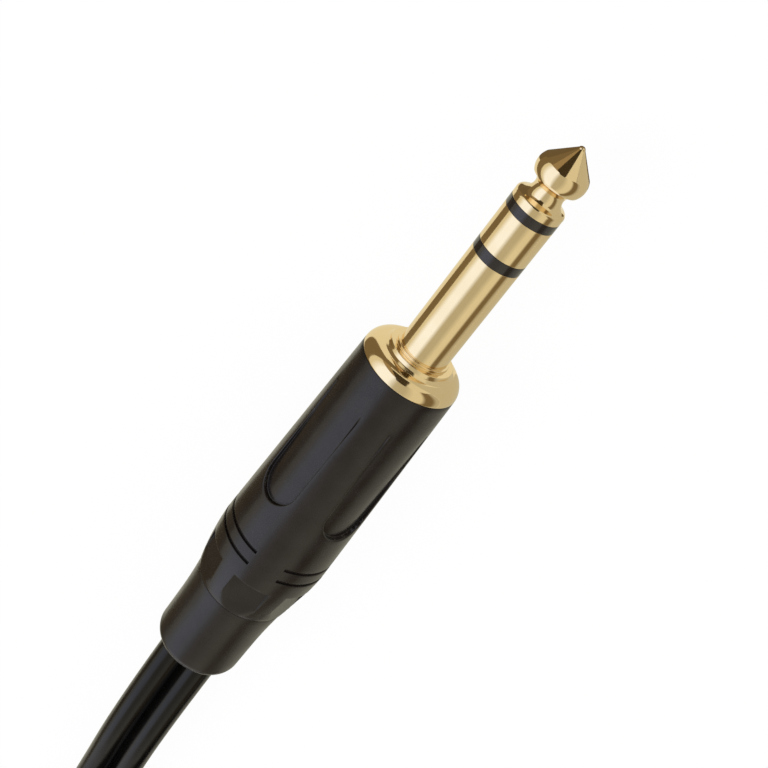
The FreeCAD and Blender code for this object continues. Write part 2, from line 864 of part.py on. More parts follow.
def racetrack(sketch, half_run, radius):
    """Two straight runs and two half turns, in quarter turns, anticlockwise about the sketch's origin."""
    draw_outline(sketch, [
        (-half_run, -radius),
        (half_run, -radius, radius),
        (half_run + radius, 0, radius),
        (half_run, radius),
        (-half_run, radius, radius),
        (-half_run - radius, 0, radius),
    ])


def make_hank(doc, s):
    """Two layers of the lead, wound long and narrow, and the start of the third where the tails leave."""
    half_width = s.jacket_pitch / 2 + s.jacket_radius
    bottom = s.strap_thickness - s.housing_widest_radius
    height = s.hank_layer * 2
    middle = Vector(-(s.hank_front.number + s.hank_run.number / 2),
                    -(s.hank_line.number + s.hank_turn_radius.number), 0)
    body = make_body(doc, "cable_hank", FreeCAD.Placement(middle, FreeCAD.Rotation()))
    body.setExpression("Placement.Base.x", f"-1 * ({s.hank_front.text} + {s.hank_run.text} / 2)")
    body.setExpression("Placement.Base.y", f"-1 * ({s.hank_line.text} + {s.hank_turn_radius.text})")
    plan = add_sketch(body, "plan", "XY_Plane", bottom)
    racetrack(plan, s.hank_run / 2, s.hank_turn_radius + half_width)
    push(body, "Pad", plan, height)
    inside = add_sketch(body, "inside", "XY_Plane", bottom)
    racetrack(inside, s.hank_run / 2, s.hank_turn_radius - half_width)
    push(body, "Pocket", inside, height, reversed_way=True)
    third = add_sketch(body, "third", "YZ_Plane", s.hank_run / 2)
    draw_outline(third, box_corners(s.hank_turn_radius - half_width, s.hank_turn_radius + half_width,
                                    bottom + height, bottom + height + s.hank_layer))
    climb = body.newObject("PartDesign::Revolution", "cable_hank_third_layer")
    climb.Profile = (third, [""])
    climb.ReferenceAxis = (third, ["V_Axis"])
    climb.setExpression("Angle", s.third_layer_angle.text)
    climb.Reversed = True
    return body


def make_cable_tie(doc, s):
    """A strap closed round the two strands on the hank's far run."""
    half = s.jacket_pitch / 2 + s.jacket_radius + s.strap_gap
    sheet = s.strap_thickness
    low = -s.housing_widest_radius + s.strap_gap
    high = low + sheet + s.hank_layer * 2 + s.strap_gap
    middle = -(s.hank_line + s.hank_turn_radius * 2)
    body = make_body(doc, "cable_tie")
    outer = add_sketch(body, "outer", "YZ_Plane", -(s.hank_front + s.strap_place) - s.strap_width / 2)
    draw_outline(outer, box_corners(middle - half - sheet, middle + half + sheet,
                                    -s.housing_widest_radius, high + sheet))
    push(body, "Pad", outer, s.strap_width)
    inner = add_sketch(body, "inner", "YZ_Plane", -(s.hank_front + s.strap_place) - s.strap_width)
    draw_outline(inner, box_corners(middle - half, middle + half,
                                    sheet - s.housing_widest_radius - s.strap_gap, high))
    push(body, "Pocket", inner, s.strap_width * 2, reversed_way=True)
    return body


# Phono plugs


def phono_places(s):
    """Stations along a phono plug's own axis, from its flange's front face."""
    p = {}
    p["flange_rear"] = -s.phono_flange_length
    p["thread_rear"] = p["flange_rear"] - s.phono_thread_length
    p["boss_rear"] = p["thread_rear"] - s.phono_boss_length
    p["lug_rear"] = p["boss_rear"] - s.phono_lug_thickness
    p["cup_rear"] = p["boss_rear"] - s.cup_length
    p["barrel_front"] = p["flange_rear"]
    p["barrel_rear"] = p["barrel_front"] - s.barrel_length
    p["lip_front"] = p["barrel_rear"] + s.barrel_lip_length
    p["boot_front"] = p["barrel_rear"] - s.seam_gap
    p["boot_rear"] = p["boot_front"] - s.phono_boot_length
    return p


def make_phono_shell(doc, name, place, s, p):
    """The slotted ground ring, the flange and the threaded spigot."""
    bore = s.insulator_radius + s.insulator_gap
    body = make_body(doc, f"{name}_shell", place)
    turn(body, [
        (p["boss_rear"], bore),
        (0, bore),
        (0, s.ground_inner_radius),
        (s.ground_length, s.ground_inner_radius),
        (s.ground_length, s.ground_outer_radius - s.seam_chamfer),
        (s.ground_length - s.seam_chamfer * 2, s.ground_outer_radius),
        (0, s.ground_outer_radius),
        (0, s.phono_flange_radius),
        (p["flange_rear"], s.phono_flange_radius),
        (p["flange_rear"], s.phono_thread_radius),
        (p["thread_rear"], s.phono_thread_radius),
        (p["thread_rear"], s.phono_boss_radius),
        (p["boss_rear"], s.phono_boss_radius),
    ])
    slot = add_sketch(body, "slot", "YZ_Plane", s.ground_length - s.ground_slot_length)
    half = s.ground_slot_width / 2
    draw_outline(slot, box_corners(-half, half, s.ground_inner_radius - s.ground_slot_width,
                                   s.ground_outer_radius + s.ground_slot_width))
    cut = push(body, "Pocket", slot, s.ground_slot_length * 2, reversed_way=True)
    repeat_round(body, [cut], 4)
    return body


def make_phono_pin(doc, name, place, s, p):
    stem_front = s.insulator_collar_length
    body = make_body(doc, f"{name}_pin", place)
    turn(body, [
        (p["cup_rear"], 0),
        (s.pin_reach, 0),
        (s.pin_reach, s.pin_end_radius, s.pin_nose_arc),
        (s.pin_reach - s.pin_nose, s.pin_radius),
        (stem_front, s.pin_radius),
        (stem_front, s.pin_stem_radius),
        (p["cup_rear"], s.pin_stem_radius),
    ])
    return body


def make_phono_insulator(doc, name, place, s, p):
    bore = s.pin_stem_radius + s.tube_gap
    body = make_body(doc, f"{name}_insulator", place)
    turn(body, [
        (p["boss_rear"], bore),
        (s.insulator_collar_length, bore),
        (s.insulator_collar_length, s.insulator_collar_radius),
        (0, s.insulator_collar_radius),
        (0, s.insulator_radius),
        (p["boss_rear"], s.insulator_radius),
    ])
    return body


def make_phono_lug(doc, name, place, s, p):
    """A ring on the boss, a tongue below the core and a cradle for the tail's jacket."""
    sheet = s.phono_lug_thickness
    half = s.jacket_radius + s.clamp_gap
    floor = -s.phono_tongue_drop
    body = make_body(doc, f"{name}_lug", place)
    disc = add_sketch(body, "disc", "YZ_Plane", p["lug_rear"])
    draw_circle(disc, s.phono_lug_radius)
    draw_circle(disc, s.phono_lug_bore)
    push(body, "Pad", disc, sheet)
    clamp_front = -s.tail_start + s.phono_clamp_length / 2
    rise = clamp_front + s.phono_tongue_drop
    tongue = add_sketch(body, "tongue", "XZ_Plane")
    draw_outline(tongue, [
        (p["lug_rear"] + sheet / 2, floor),
        (rise, floor),
        (clamp_front, -half),
        (clamp_front - sheet, -half),
        (clamp_front - sheet, -half - sheet),
        (clamp_front, -half - sheet),
        (rise, floor - sheet),
        (p["lug_rear"] + sheet / 2, floor - sheet),
    ])
    push(body, "Pad", tongue, s.phono_tongue_width, both_ways=True)
    cradle = add_sketch(body, "cradle", "YZ_Plane", clamp_front - sheet / 2)
    draw_outline(cradle, [
        (-half - sheet, -half - sheet),
        (half + sheet, -half - sheet),
        (half + sheet, half / 2),
        (half, half / 2),
        (half, -half),
        (-half, -half),
        (-half, half / 2),
        (-half - sheet, half / 2),
    ])
    push(body, "Pad", cradle, s.phono_clamp_length, reversed_way=True)
    return body


def make_phono_core(doc, name, place, s, p):
    """The conductor's insulated end, from the jacket to the pin's cup."""
    body = make_body(doc, f"{name}_core", place)
    end = add_sketch(body, "end", "YZ_Plane", -s.tail_start)
    draw_circle(end, s.wire_radius)
    push(body, "Pad", end, s.tail_start + p["cup_rear"])
    return body


def make_barrel(doc, name, place, s, p):
    mouth = s.phono_thread_radius + s.thread_clearance
    taper_front = p["barrel_rear"] + s.barrel_taper_length
    band_front = p["barrel_front"] - s.band_place
    band_rear = band_front - s.band_width
    groove = s.barrel_radius - s.band_depth
    body = make_body(doc, f"{name}_barrel", place)
    turn(body, [
        (p["barrel_front"], mouth),
        (p["barrel_front"], s.barrel_radius - s.barrel_front_chamfer),
        (p["barrel_front"] - s.barrel_front_chamfer, s.barrel_radius),
        (band_front, s.barrel_radius),
        (band_front, groove),
        (band_rear, groove),
        (band_rear, s.barrel_radius),
        (taper_front, s.barrel_radius),
        (p["barrel_rear"], s.barrel_rear_radius),
        (p["barrel_rear"], s.barrel_lip_radius),
        (p["lip_front"], s.barrel_lip_radius),
        (p["lip_front"], mouth),
    ])
    return body


def make_band(doc, name, place, s, p):
    front = p["barrel_front"] - s.band_place - s.band_gap
    rear = front - s.band_width + s.band_gap * 2
    bore = s.barrel_radius - s.band_depth + s.band_gap
    return washer(doc, f"{name}_band", rear, front, bore, s.barrel_radius, place)


def make_phono_boot(doc, name, place, s, p):
    bore = s.jacket_radius + s.tail_hole_gap
    spigot = s.barrel_lip_radius - s.boot_clearance
    flange_rear = p["lip_front"] + s.boot_clearance
    flange_front = flange_rear + s.phono_boot_flange_length
    body = make_body(doc, f"{name}_boot", place)
    turn(body, [
        (p["boot_rear"], bore),
        (flange_front, bore),
        (flange_front, s.phono_boot_flange_radius),
        (flange_rear, s.phono_boot_flange_radius),
        (flange_rear, spigot),
        (p["boot_front"], spigot),
        (p["boot_front"], s.phono_boot_radius),
        (p["boot_rear"] + s.seam_chamfer, s.phono_boot_rear_radius),
        (p["boot_rear"], s.phono_boot_rear_radius - s.seam_chamfer),
    ])
    return body


def make_phono_plug(doc, side, s):
    """One phono plug with its tip towards -X, lying on the floor."""
    behind, across = PHONO_PLACES[side]
    height = s.barrel_radius.number - s.housing_widest_radius.number
    place = FreeCAD.Placement(Vector(-behind, across, height), FreeCAD.Rotation(Vector(0, 0, 1), 180.0))
    name = f"rca_{side}"
    p = phono_places(s)
    builders = (make_phono_shell, make_phono_pin, make_phono_insulator, make_phono_lug,
                make_phono_core, make_barrel, make_band, make_phono_boot)
    return [builder(doc, name, place, s, p) for builder in builders]


# Whole part


def make_jack(doc, s):
    p = jack_places(s)
    return [
        make_tip_contact(doc, s, p),
        *make_stack(doc, s, p),
        make_sleeve_contact(doc, s, p),
        *make_lugs(doc, s, p),
        make_insulating_tube(doc, s, p),
        *make_wires(doc, s, p),
        make_housing(doc, s, p),
        make_boot(doc, s, p),
    ]


def make_lead(doc, s):
    pieces = [make_twin_cable(doc, s), make_hank(doc, s), make_cable_tie(doc, s)]
    for side, route in TAIL_ROUTES.items():
        points = [Vector(*place) for place in route]
        pieces.append(round_cord(doc, f"{side}_tail", points, s.jacket_radius.number))
    return pieces


def check(doc, pieces):
    """Stops before anything is written if an object failed or a piece has no sound shape."""
    for thing in doc.Objects:
        if "Invalid" in thing.State or "Error" in thing.State:
            raise RuntimeError(f"{thing.Label} failed: {thing.State}")
    for piece in pieces:
        if piece.Shape.isNull() or not piece.Shape.isValid() or not piece.Shape.Solids:
            raise RuntimeError(f"{piece.Label} has no valid solid")


def main():
    doc = FreeCAD.newDocument("jack_lead")
    s = make_sheet(doc)
    pieces = make_jack(doc, s) + make_lead(doc, s)
    for side in PHONO_PLACES:
        pieces += make_phono_plug(doc, side, s)
    doc.recompute()
    check(doc, pieces)
    os.makedirs(OUTPUT_FOLDER, exist_ok=True)
    for piece in pieces:
        piece.Shape.exportStep(f"{OUTPUT_FOLDER}/{piece.Label}.step")
        print(f"{piece.Label}: {len(piece.Shape.Solids)} solid, {piece.Shape.Volume:.1f} mm3")


main()
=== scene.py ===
"""Looks of a stereo 6.35 mm jack plug on a twin lead that ends in two phono plugs.

Every sub-assembly is a class that holds its sizes in millimetres and builds its pieces in metres, in the
frame of the solids: the jack's axis is X with the tip towards +X, and the lead lies on z = -7.6 mm.
"""

import json
import logging
import math
from dataclasses import dataclass
from enum import Enum
from typing import Callable, Iterable, Optional, Sequence

import bmesh
import bpy
from mathutils import Matrix, Vector
from mathutils.geometry import delaunay_2d_cdt


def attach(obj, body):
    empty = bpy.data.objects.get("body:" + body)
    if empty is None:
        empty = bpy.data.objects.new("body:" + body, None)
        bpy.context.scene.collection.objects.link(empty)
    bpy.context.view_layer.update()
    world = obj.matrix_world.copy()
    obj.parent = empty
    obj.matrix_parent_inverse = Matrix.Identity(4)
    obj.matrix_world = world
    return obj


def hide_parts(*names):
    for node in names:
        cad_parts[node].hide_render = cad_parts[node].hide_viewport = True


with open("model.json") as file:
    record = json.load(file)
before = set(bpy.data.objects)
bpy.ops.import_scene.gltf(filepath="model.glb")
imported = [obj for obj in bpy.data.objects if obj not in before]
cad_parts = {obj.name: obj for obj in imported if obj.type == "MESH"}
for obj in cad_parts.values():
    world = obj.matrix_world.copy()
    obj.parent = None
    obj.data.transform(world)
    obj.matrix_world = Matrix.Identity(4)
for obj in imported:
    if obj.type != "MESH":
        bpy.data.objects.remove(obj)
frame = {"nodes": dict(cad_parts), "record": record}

MM = 0.001
FLOOR = -7.6
LOG = logging.getLogger("jack_lead")
Pair = tuple[float, float]
Triple = tuple[float, float, float]
Skin = tuple[list[Vector], list[list[int]]]


# Meshes


def link(thing: bpy.types.Object) -> bpy.types.Object:
    """Puts an object into the scene's own collection."""
    bpy.context.scene.collection.objects.link(thing)
    return thing


def make_piece(name: str, points: Sequence[Vector], faces: Sequence[Sequence[int]],
               crease: float = 32.0, place: Optional[Matrix] = None) -> bpy.types.Object:
    """Makes a closed, smooth-shaded piece from points in millimetres.

    Args:
        name: The piece's name.
        points: Its corners, in millimetres.
        faces: Its faces, as indices of the corners.
        crease: The angle in degrees past which an edge stays sharp.
        place: Where the piece goes, applied to its mesh.

    Returns:
        The piece, at the origin, with its place in its mesh.
    """
    mesh = bpy.data.meshes.new(name)
    mesh.from_pydata([point * MM for point in points], [], faces)
    if place is not None:
        mesh.transform(place)
    clean_mesh(mesh)
    mesh.shade_smooth()
    mesh.set_sharp_from_angle(angle=math.radians(crease))
    return link(bpy.data.objects.new(name, mesh))


def clean_mesh(mesh: bpy.types.Mesh, merge: float = 1e-7) -> None:
    """Merges doubles and turns every face outwards.

    Args:
        mesh: The mesh to mend.
        merge: The distance in metres under which corners are one.
    """
    work = bmesh.new()
    work.from_mesh(mesh)
    bmesh.ops.remove_doubles(work, verts=work.verts, dist=merge)
    bmesh.ops.dissolve_degenerate(work, dist=merge, edges=work.edges)
    bmesh.ops.recalc_face_normals(work, faces=work.faces)
    work.to_mesh(mesh)
    work.free()


def arc_through(start: Pair, end: Pair, radius: float, steps: int = 10) -> list[Pair]:
    """Points of the short arc from start to end, without its two ends.

    Args:
        start: The first end.
        end: The second end.
        radius: The arc's radius. A positive one bulges to the left of the way from start to end.
        steps: How many pieces the arc is cut into.

    Returns:
        The points between the ends.
    """
    middle = Vector(((start[0] + end[0]) / 2, (start[1] + end[1]) / 2))
    way = Vector((end[0] - start[0], end[1] - start[1]))
    half = way.length / 2
    left = Vector((-way.y, way.x)).normalized()
    side = 1.0 if radius > 0 else -1.0
    rise = math.sqrt(max(radius * radius - half * half, 0.0))
    centre = middle - left * rise * side
    first = math.atan2(start[1] - centre.y, start[0] - centre.x)
    sweep = 2 * math.asin(min(half / abs(radius), 1.0)) * -side
    return [(centre.x + abs(radius) * math.cos(first + sweep * step / steps),
             centre.y + abs(radius) * math.sin(first + sweep * step / steps)) for step in range(1, steps)]


def soften(corners: Sequence[tuple[float, ...]], steps: int = 4) -> list[Pair]:
    """Rounds the corners of an open profile that carry a third number, the length to cut off each side.

    Args:
        corners: Profile corners as (along, radius) or (along, radius, cut).
        steps: How many pieces a rounding is cut into.

    Returns:
        The profile with its roundings as points.
    """
    made: list[Pair] = []
    for index, corner in enumerate(corners):
        if len(corner) == 2 or index in (0, len(corners) - 1):
            made.append((corner[0], corner[1]))
            continue
        here = Vector(corner[:2])
        before = Vector(corners[index - 1][:2])
        after = Vector(corners[index + 1][:2])
        cut = min(corner[2], (before - here).length * 0.49, (after - here).length * 0.49)
        start = here + (before - here).normalized() * cut
        end = here + (after - here).normalized() * cut
        for step in range(steps + 1):
            share = step / steps
            point = start * (1 - share) ** 2 + here * 2 * share * (1 - share) + end * share ** 2
            made.append((point.x, point.y))
    return made


def rounded(corners: Sequence[tuple[float, float, float, float]], steps: int) -> list[Pair]:
    """A closed outline made of quarter circles.

    Args:
        corners: The circles as (across, up, radius, the first angle in degrees).
        steps: How many pieces a quarter is cut into.

    Returns:
        The outline.
    """
    return [(across + radius * math.cos(math.radians(first + 90.0 * step / steps)),
             up + radius * math.sin(math.radians(first + 90.0 * step / steps)))
            for across, up, radius, first in corners for step in range(steps + 1)]


def held(profile: Sequence[Pair], closed: bool, reach: float = 0.05) -> list[Pair]:
    """Adds a point close to each end of every long span, so that smooth shading keeps the span straight.

    Args:
        profile: (along, radius) points.
        closed: True if the last point joins the first.
        reach: How far from the ends the points lie.

    Returns:
        The profile with its added points.
    """
    made: list[Pair] = []
    ends = [*profile[1:], profile[0]] if closed else list(profile[1:])
    for start, end in zip(profile, ends):
        made.append((start[0], start[1]))
        length = math.dist(start[:2], end[:2])
        if length > 8 * reach:
            for share in (reach / length, 1 - reach / length):
                made.append((start[0] + (end[0] - start[0]) * share, start[1] + (end[1] - start[1]) * share))
    return made if closed else [*made, (profile[-1][0], profile[-1][1])]


def spot(along: float, radius: float, angle: float) -> Vector:
    """A place round the X axis, at an angle in radians from +Z towards +Y."""
    return Vector((along, radius * math.sin(angle), radius * math.cos(angle)))


def ring(along: float, radius: float, count: int) -> list[Vector]:
    """A ring of points round the X axis, starting at +Z."""
    return [spot(along, radius, 2 * math.pi * i / count) for i in range(count)]


def loft(rings: Sequence[Sequence[Vector]], closed: bool = False, capped: bool = False) -> Skin:
    """Joins rings of equally many points into a skin.

    Args:
        rings: The rings, in order.
        closed: True if the last ring joins the first again.
        capped: True if the first and the last ring are filled.

    Returns:
        The points and the faces.
    """
    count, faces = len(rings[0]), []
    points = [point for one in rings for point in one]
    for row in range(len(rings) if closed else len(rings) - 1):
        here, there = row * count, (row + 1) % len(rings) * count
        faces += [[here + i, here + (i + 1) % count, there + (i + 1) % count, there + i] for i in range(count)]
    if capped:
        faces.append(list(range(count))[::-1])
        faces.append([len(points) - count + i for i in range(count)])
    return points, faces


def merged(parts: Iterable[Skin]) -> Skin:
    """Puts several skins into one.

    Args:
        parts: The skins.

    Returns:
        All their points and faces.
    """
    points: list[Vector] = []
    faces: list[list[int]] = []
    for some_points, some_faces in parts:
        first = len(points)
        points += some_points
        faces += [[index + first for index in face] for face in some_faces]
    return points, faces


def turned(name: str, profile: Sequence[Pair], count: int = 144, closed: bool = False,
           crease: float = 32.0, place: Optional[Matrix] = None) -> bpy.types.Object:
    """Turns a profile about the X axis.

    Args:
        name: The piece's name.
        profile: (along, radius) points. A radius of 0 makes a pole.
        count: How many points go round.
        closed: True for a ring-shaped piece whose profile closes on itself.
        crease: The angle in degrees past which an edge stays sharp.
        place: Where the piece goes.

    Returns:
        The piece.
    """
    rings = [ring(along, max(radius, 0.0), count) for along, radius in held(profile, closed)]
    points, faces = loft(rings, closed)
    return make_piece(name, points, faces, crease, place)


# Node trees


class Graph:
    """A node tree with short ways to add and join nodes."""

    def __init__(self, tree: bpy.types.NodeTree) -> None:
        """Takes the tree that the nodes go into."""
        self.tree = tree

    def feed(self, node: bpy.types.Node, inputs: dict) -> None:
        """Joins sockets to a node's inputs, or sets its inputs to constants.

        Args:
            node: The node.
            inputs: Sockets, numbers, vectors or materials, by the input's name or index.
        """
        for key, given in inputs.items():
            if isinstance(given, bpy.types.NodeSocket):
                self.tree.links.new(given, node.inputs[key])
            else:
                node.inputs[key].default_value = given

    def add(self, kind: str, inputs: Optional[dict] = None, **settings: object) -> bpy.types.Node:
        """Adds a node, sets its properties and feeds its inputs.

        Args:
            kind: The node's type.
            inputs: What its inputs are fed with.
            settings: Properties by name.

        Returns:
            The node.
        """
        node = self.tree.nodes.new(kind)
        for name, setting in settings.items():
            setattr(node, name, setting)
        self.feed(node, inputs or {})
        return node

    def math(self, operation: str, first: object, second: object = 0.0) -> bpy.types.NodeSocket:
        """Adds a Math node on two sockets or numbers and returns its output."""
        return self.add("ShaderNodeMath", {0: first, 1: second}, operation=operation).outputs[0]

    def noise(self, vector: bpy.types.NodeSocket, scale: object, detail: float,
              roughness: float) -> bpy.types.NodeSocket:
        """Adds a Noise Texture and returns its height."""
        inputs = {"Vector": vector, "Scale": scale, "Detail": detail, "Roughness": roughness}
        return self.add("ShaderNodeTexNoise", inputs).outputs["Fac"]

    def spread(self, value: bpy.types.NodeSocket, low: float, high: float,
               to_low: float = 0.0, to_high: float = 1.0) -> bpy.types.NodeSocket:
        """Maps a value from one span to another, held within it.

        Args:
            value: The socket.
            low: Where its own span begins.
            high: Where its own span ends.
            to_low: What the beginning becomes.
            to_high: What the end becomes.

        Returns:
            The mapped value.
        """
        inputs = {"Value": value, "From Min": low, "From Max": high, "To Min": to_low, "To Max": to_high}
        return self.add("ShaderNodeMapRange", inputs).outputs["Result"]


def start_group(name: str, inputs: dict[str, float], outputs: Sequence[str],
                geometry: bool = False) -> tuple[Graph, bpy.types.Node, bpy.types.Node]:
    """Starts a node group with named number inputs.

    Args:
        name: The group's name.
        inputs: Input names and their defaults.
        outputs: Output names.
        geometry: True for a geometry tree, which puts out geometry. A shader group puts out numbers.

    Returns:
        The group's graph, its input node and its output node.
    """
    tree = bpy.data.node_groups.new(name, "GeometryNodeTree" if geometry else "ShaderNodeTree")
    for label in outputs:
        kind = "NodeSocketGeometry" if geometry else "NodeSocketFloat"
        tree.interface.new_socket(name=label, in_out="OUTPUT", socket_type=kind)
    for label, default in inputs.items():
        socket = tree.interface.new_socket(name=label, in_out="INPUT", socket_type="NodeSocketFloat")
        socket.default_value = default
    graph = Graph(tree)
    return graph, graph.add("NodeGroupInput"), graph.add("NodeGroupOutput")


def end_tree(graph: Graph, made: bpy.types.Node, shape: bpy.types.NodeSocket,
             material: bpy.types.Material) -> bpy.types.NodeTree:
    """Ends a geometry tree with real instances and their material.

    Args:
        graph: The tree's graph.
        made: Its output node.
        shape: The geometry.
        material: Its material.

    Returns:
        The tree.
    """
    real = graph.add("GeometryNodeRealizeInstances", {0: shape})
    paint = graph.add("GeometryNodeSetMaterial", {"Geometry": real.outputs[0], "Material": material})
    graph.feed(made, {0: paint.outputs[0]})
    return graph.tree


def run_tree(name: str, tree: bpy.types.NodeTree, settings: dict[str, float]) -> bpy.types.Object:
    """Runs a geometry tree once and keeps its result as a plain mesh.

    Args:
        name: The piece's name.
        tree: The tree.
        settings: Inputs by name.

    Returns:
        The piece, without a modifier.
    """
    host = link(bpy.data.objects.new(f"{name}_host", bpy.data.meshes.new(f"{name}_host")))
    modifier = host.modifiers.new("build", "NODES")
    modifier.node_group = tree
    for item in tree.interface.items_tree:
        if item.item_type == "SOCKET" and item.in_out == "INPUT" and item.name in settings:
            modifier[item.identifier] = settings[item.name]
    bpy.context.view_layer.update()
    seen = host.evaluated_get(bpy.context.evaluated_depsgraph_get())
    mesh = bpy.data.meshes.new_from_object(seen)
    mesh.name = name
    spare = host.data
    bpy.data.objects.remove(host)
    bpy.data.meshes.remove(spare)
    return link(bpy.data.objects.new(name, mesh))


# Finishes


def new_material(name: str) -> tuple[bpy.types.Material, Graph]:
    """Starts a material, and a graph on its nodes."""
    material = bpy.data.materials.new(name)
    material.use_nodes = True
    return material, Graph(material.node_tree)


class Effects:
    """Shared surface effects, each a group that puts out heights and masks."""

    def __init__(self) -> None:
        """Builds every group once."""
        self.grain = self.make_grain()
        self.handling = self.make_handling()
        self.turning = self.make_turning()
        self.weave = self.make_weave()

    @staticmethod
    def make_grain() -> bpy.types.NodeTree:
        """Fine moulded grain with a slow mottle across it.

        Returns:
            The group.
        """
        graph, given, made = start_group("moulded_grain", {"Scale": 9000.0}, ("Height", "Mottle"))
        place, scale = graph.add("ShaderNodeTexCoord").outputs["Object"], given.outputs["Scale"]
        fine = graph.noise(place, scale, 2.0, 0.6)
        slow = graph.noise(place, graph.math("MULTIPLY", scale, 0.035), 4.0, 0.55)
        graph.feed(made, {"Height": fine, "Mottle": graph.spread(slow, 0.35, 0.65)})
        return graph.tree

    @staticmethod
    def make_handling() -> bpy.types.NodeTree:
        """Smudges of handling, and hairline scratches among them.

        Returns:
            The group.
        """
        graph, given, made = start_group("handling_marks", {"Scale": 260.0}, ("Smudge", "Scratch"))
        place, scale = graph.add("ShaderNodeTexCoord").outputs["Object"], given.outputs["Scale"]
        cloud = graph.noise(place, scale, 5.0, 0.6)
        stretch = graph.add("ShaderNodeMapping", {"Vector": place, "Rotation": (0.3, 0.5, 0.9),
                                                  "Scale": (1.0, 0.04, 1.0)})
        line = graph.noise(stretch.outputs["Vector"], graph.math("MULTIPLY", scale, 22.0), 2.0, 0.5)
        graph.feed(made, {"Smudge": graph.spread(cloud, 0.42, 0.68), "Scratch": graph.spread(line, 0.66, 0.74)})
        return graph.tree

    @staticmethod
    def make_turning() -> bpy.types.NodeTree:
        """Fine rings that a lathe leaves round the X axis.

        Returns:
            The group.
        """
        graph, given, made = start_group("turning_rings", {"Rings per metre": 9000.0}, ("Height",))
        place = graph.add("ShaderNodeTexCoord").outputs["Object"]
        split = graph.add("ShaderNodeSeparateXYZ", {0: place})
        along = graph.math("MULTIPLY", split.outputs["X"], given.outputs["Rings per metre"])
        row = graph.add("ShaderNodeCombineXYZ", {"X": along})
        graph.feed(made, {"Height": graph.noise(row.outputs[0], 1.0, 3.0, 0.7)})
        return graph.tree

    @staticmethod
    def make_weave() -> bpy.types.NodeTree:
        """Warp and weft of a narrow woven tape, from the piece's own UV map in millimetres.

        Returns:
            The group.
        """
        graph, given, made = start_group("tape_weave", {"Threads per millimetre": 1.6}, ("Height", "Gap"))
        place = graph.add("ShaderNodeTexCoord").outputs["UV"]
        split = graph.add("ShaderNodeSeparateXYZ", {0: place})
        turns = graph.math("MULTIPLY", given.outputs["Threads per millimetre"], 2 * math.pi)
        warp, weft = (graph.math("SINE", graph.math("MULTIPLY", split.outputs[axis], turns)) for axis in "XY")
        product = graph.math("MULTIPLY", warp, weft)
        fuzz = graph.math("MULTIPLY", graph.noise(place, 9.0, 3.0, 0.6), 0.7)
        height = graph.math("ADD", graph.math("MULTIPLY", product, 0.5), fuzz)
        graph.feed(made, {"Height": height, "Gap": graph.spread(product, -0.3, 0.5)})
        return graph.tree


class Base(Enum):
    """What a finish is made of, which sets the shader's fixed numbers: metallic, IOR and coat."""

    METAL = (1.0, 1.5, 0.0)
    GLOSSY_PLASTIC = (0.0, 1.5, 0.25)
    SATIN_PLASTIC = (0.0, 1.5, 0.0)
    SOFT_PLASTIC = (0.0, 1.48, 0.0)
    TEXTILE = (0.0, 1.45, 0.0)


@dataclass(frozen=True)
class Finish:
    """A finish: its two tones, its roughness span and the effects on it.

    The colour moves between the two tones with the mottle or the weave. Heights are in metres.
    """

    name: str
    base: Base
    tone: Triple
    second: Triple
    rough: Pair
    grain_scale: float = 9000.0
    grain_height: float = 0.0
    turning_height: float = 0.0
    weave_height: float = 0.0
    scratch: float = 0.0
    sheen: float = 0.0
    mirror: float = 0.5
    tint: Triple = (1.0, 1.0, 1.0)

    def make(self, effects: Effects) -> bpy.types.Material:
        """Builds the material.

        Args:
            effects: The shared groups.

        Returns:
            The material.
        """
        material, graph = new_material(self.name)
        shader = material.node_tree.nodes["Principled BSDF"]
        metallic, ior, coat = self.base.value
        grain = graph.add("ShaderNodeGroup", {"Scale": self.grain_scale}, node_tree=effects.grain)
        marks = graph.add("ShaderNodeGroup", node_tree=effects.handling)
        height, reach, share = grain.outputs["Height"], self.grain_height, grain.outputs["Mottle"]
        if self.turning_height:
            turning = graph.add("ShaderNodeGroup", node_tree=effects.turning)
            height, reach = turning.outputs["Height"], self.turning_height
        if self.weave_height:
            weave = graph.add("ShaderNodeGroup", node_tree=effects.weave)
            height, reach, share = weave.outputs["Height"], self.weave_height, weave.outputs["Gap"]
        tone = graph.add("ShaderNodeMix", {0: share, 6: (*self.tone, 1.0), 7: (*self.second, 1.0)},
                         data_type="RGBA")
        rough = graph.spread(marks.outputs["Smudge"], 0.0, 1.0, *self.rough)
        if self.scratch:
            rough = graph.math("ADD", rough, graph.math("MULTIPLY", marks.outputs["Scratch"], self.scratch))
        graph.feed(shader, {
            "Base Color": tone.outputs[2], "Roughness": rough, "Metallic": metallic, "IOR": ior,
            "Coat Weight": coat, "Coat Roughness": 0.06, "Sheen Weight": self.sheen,
            "Specular IOR Level": self.mirror, "Specular Tint": (*self.tint, 1.0),
        })
        if reach:
            bump = graph.add("ShaderNodeBump", {"Strength": 1.0, "Distance": reach, "Height": height})
            graph.feed(shader, {"Normal": bump.outputs[0]})
        return material


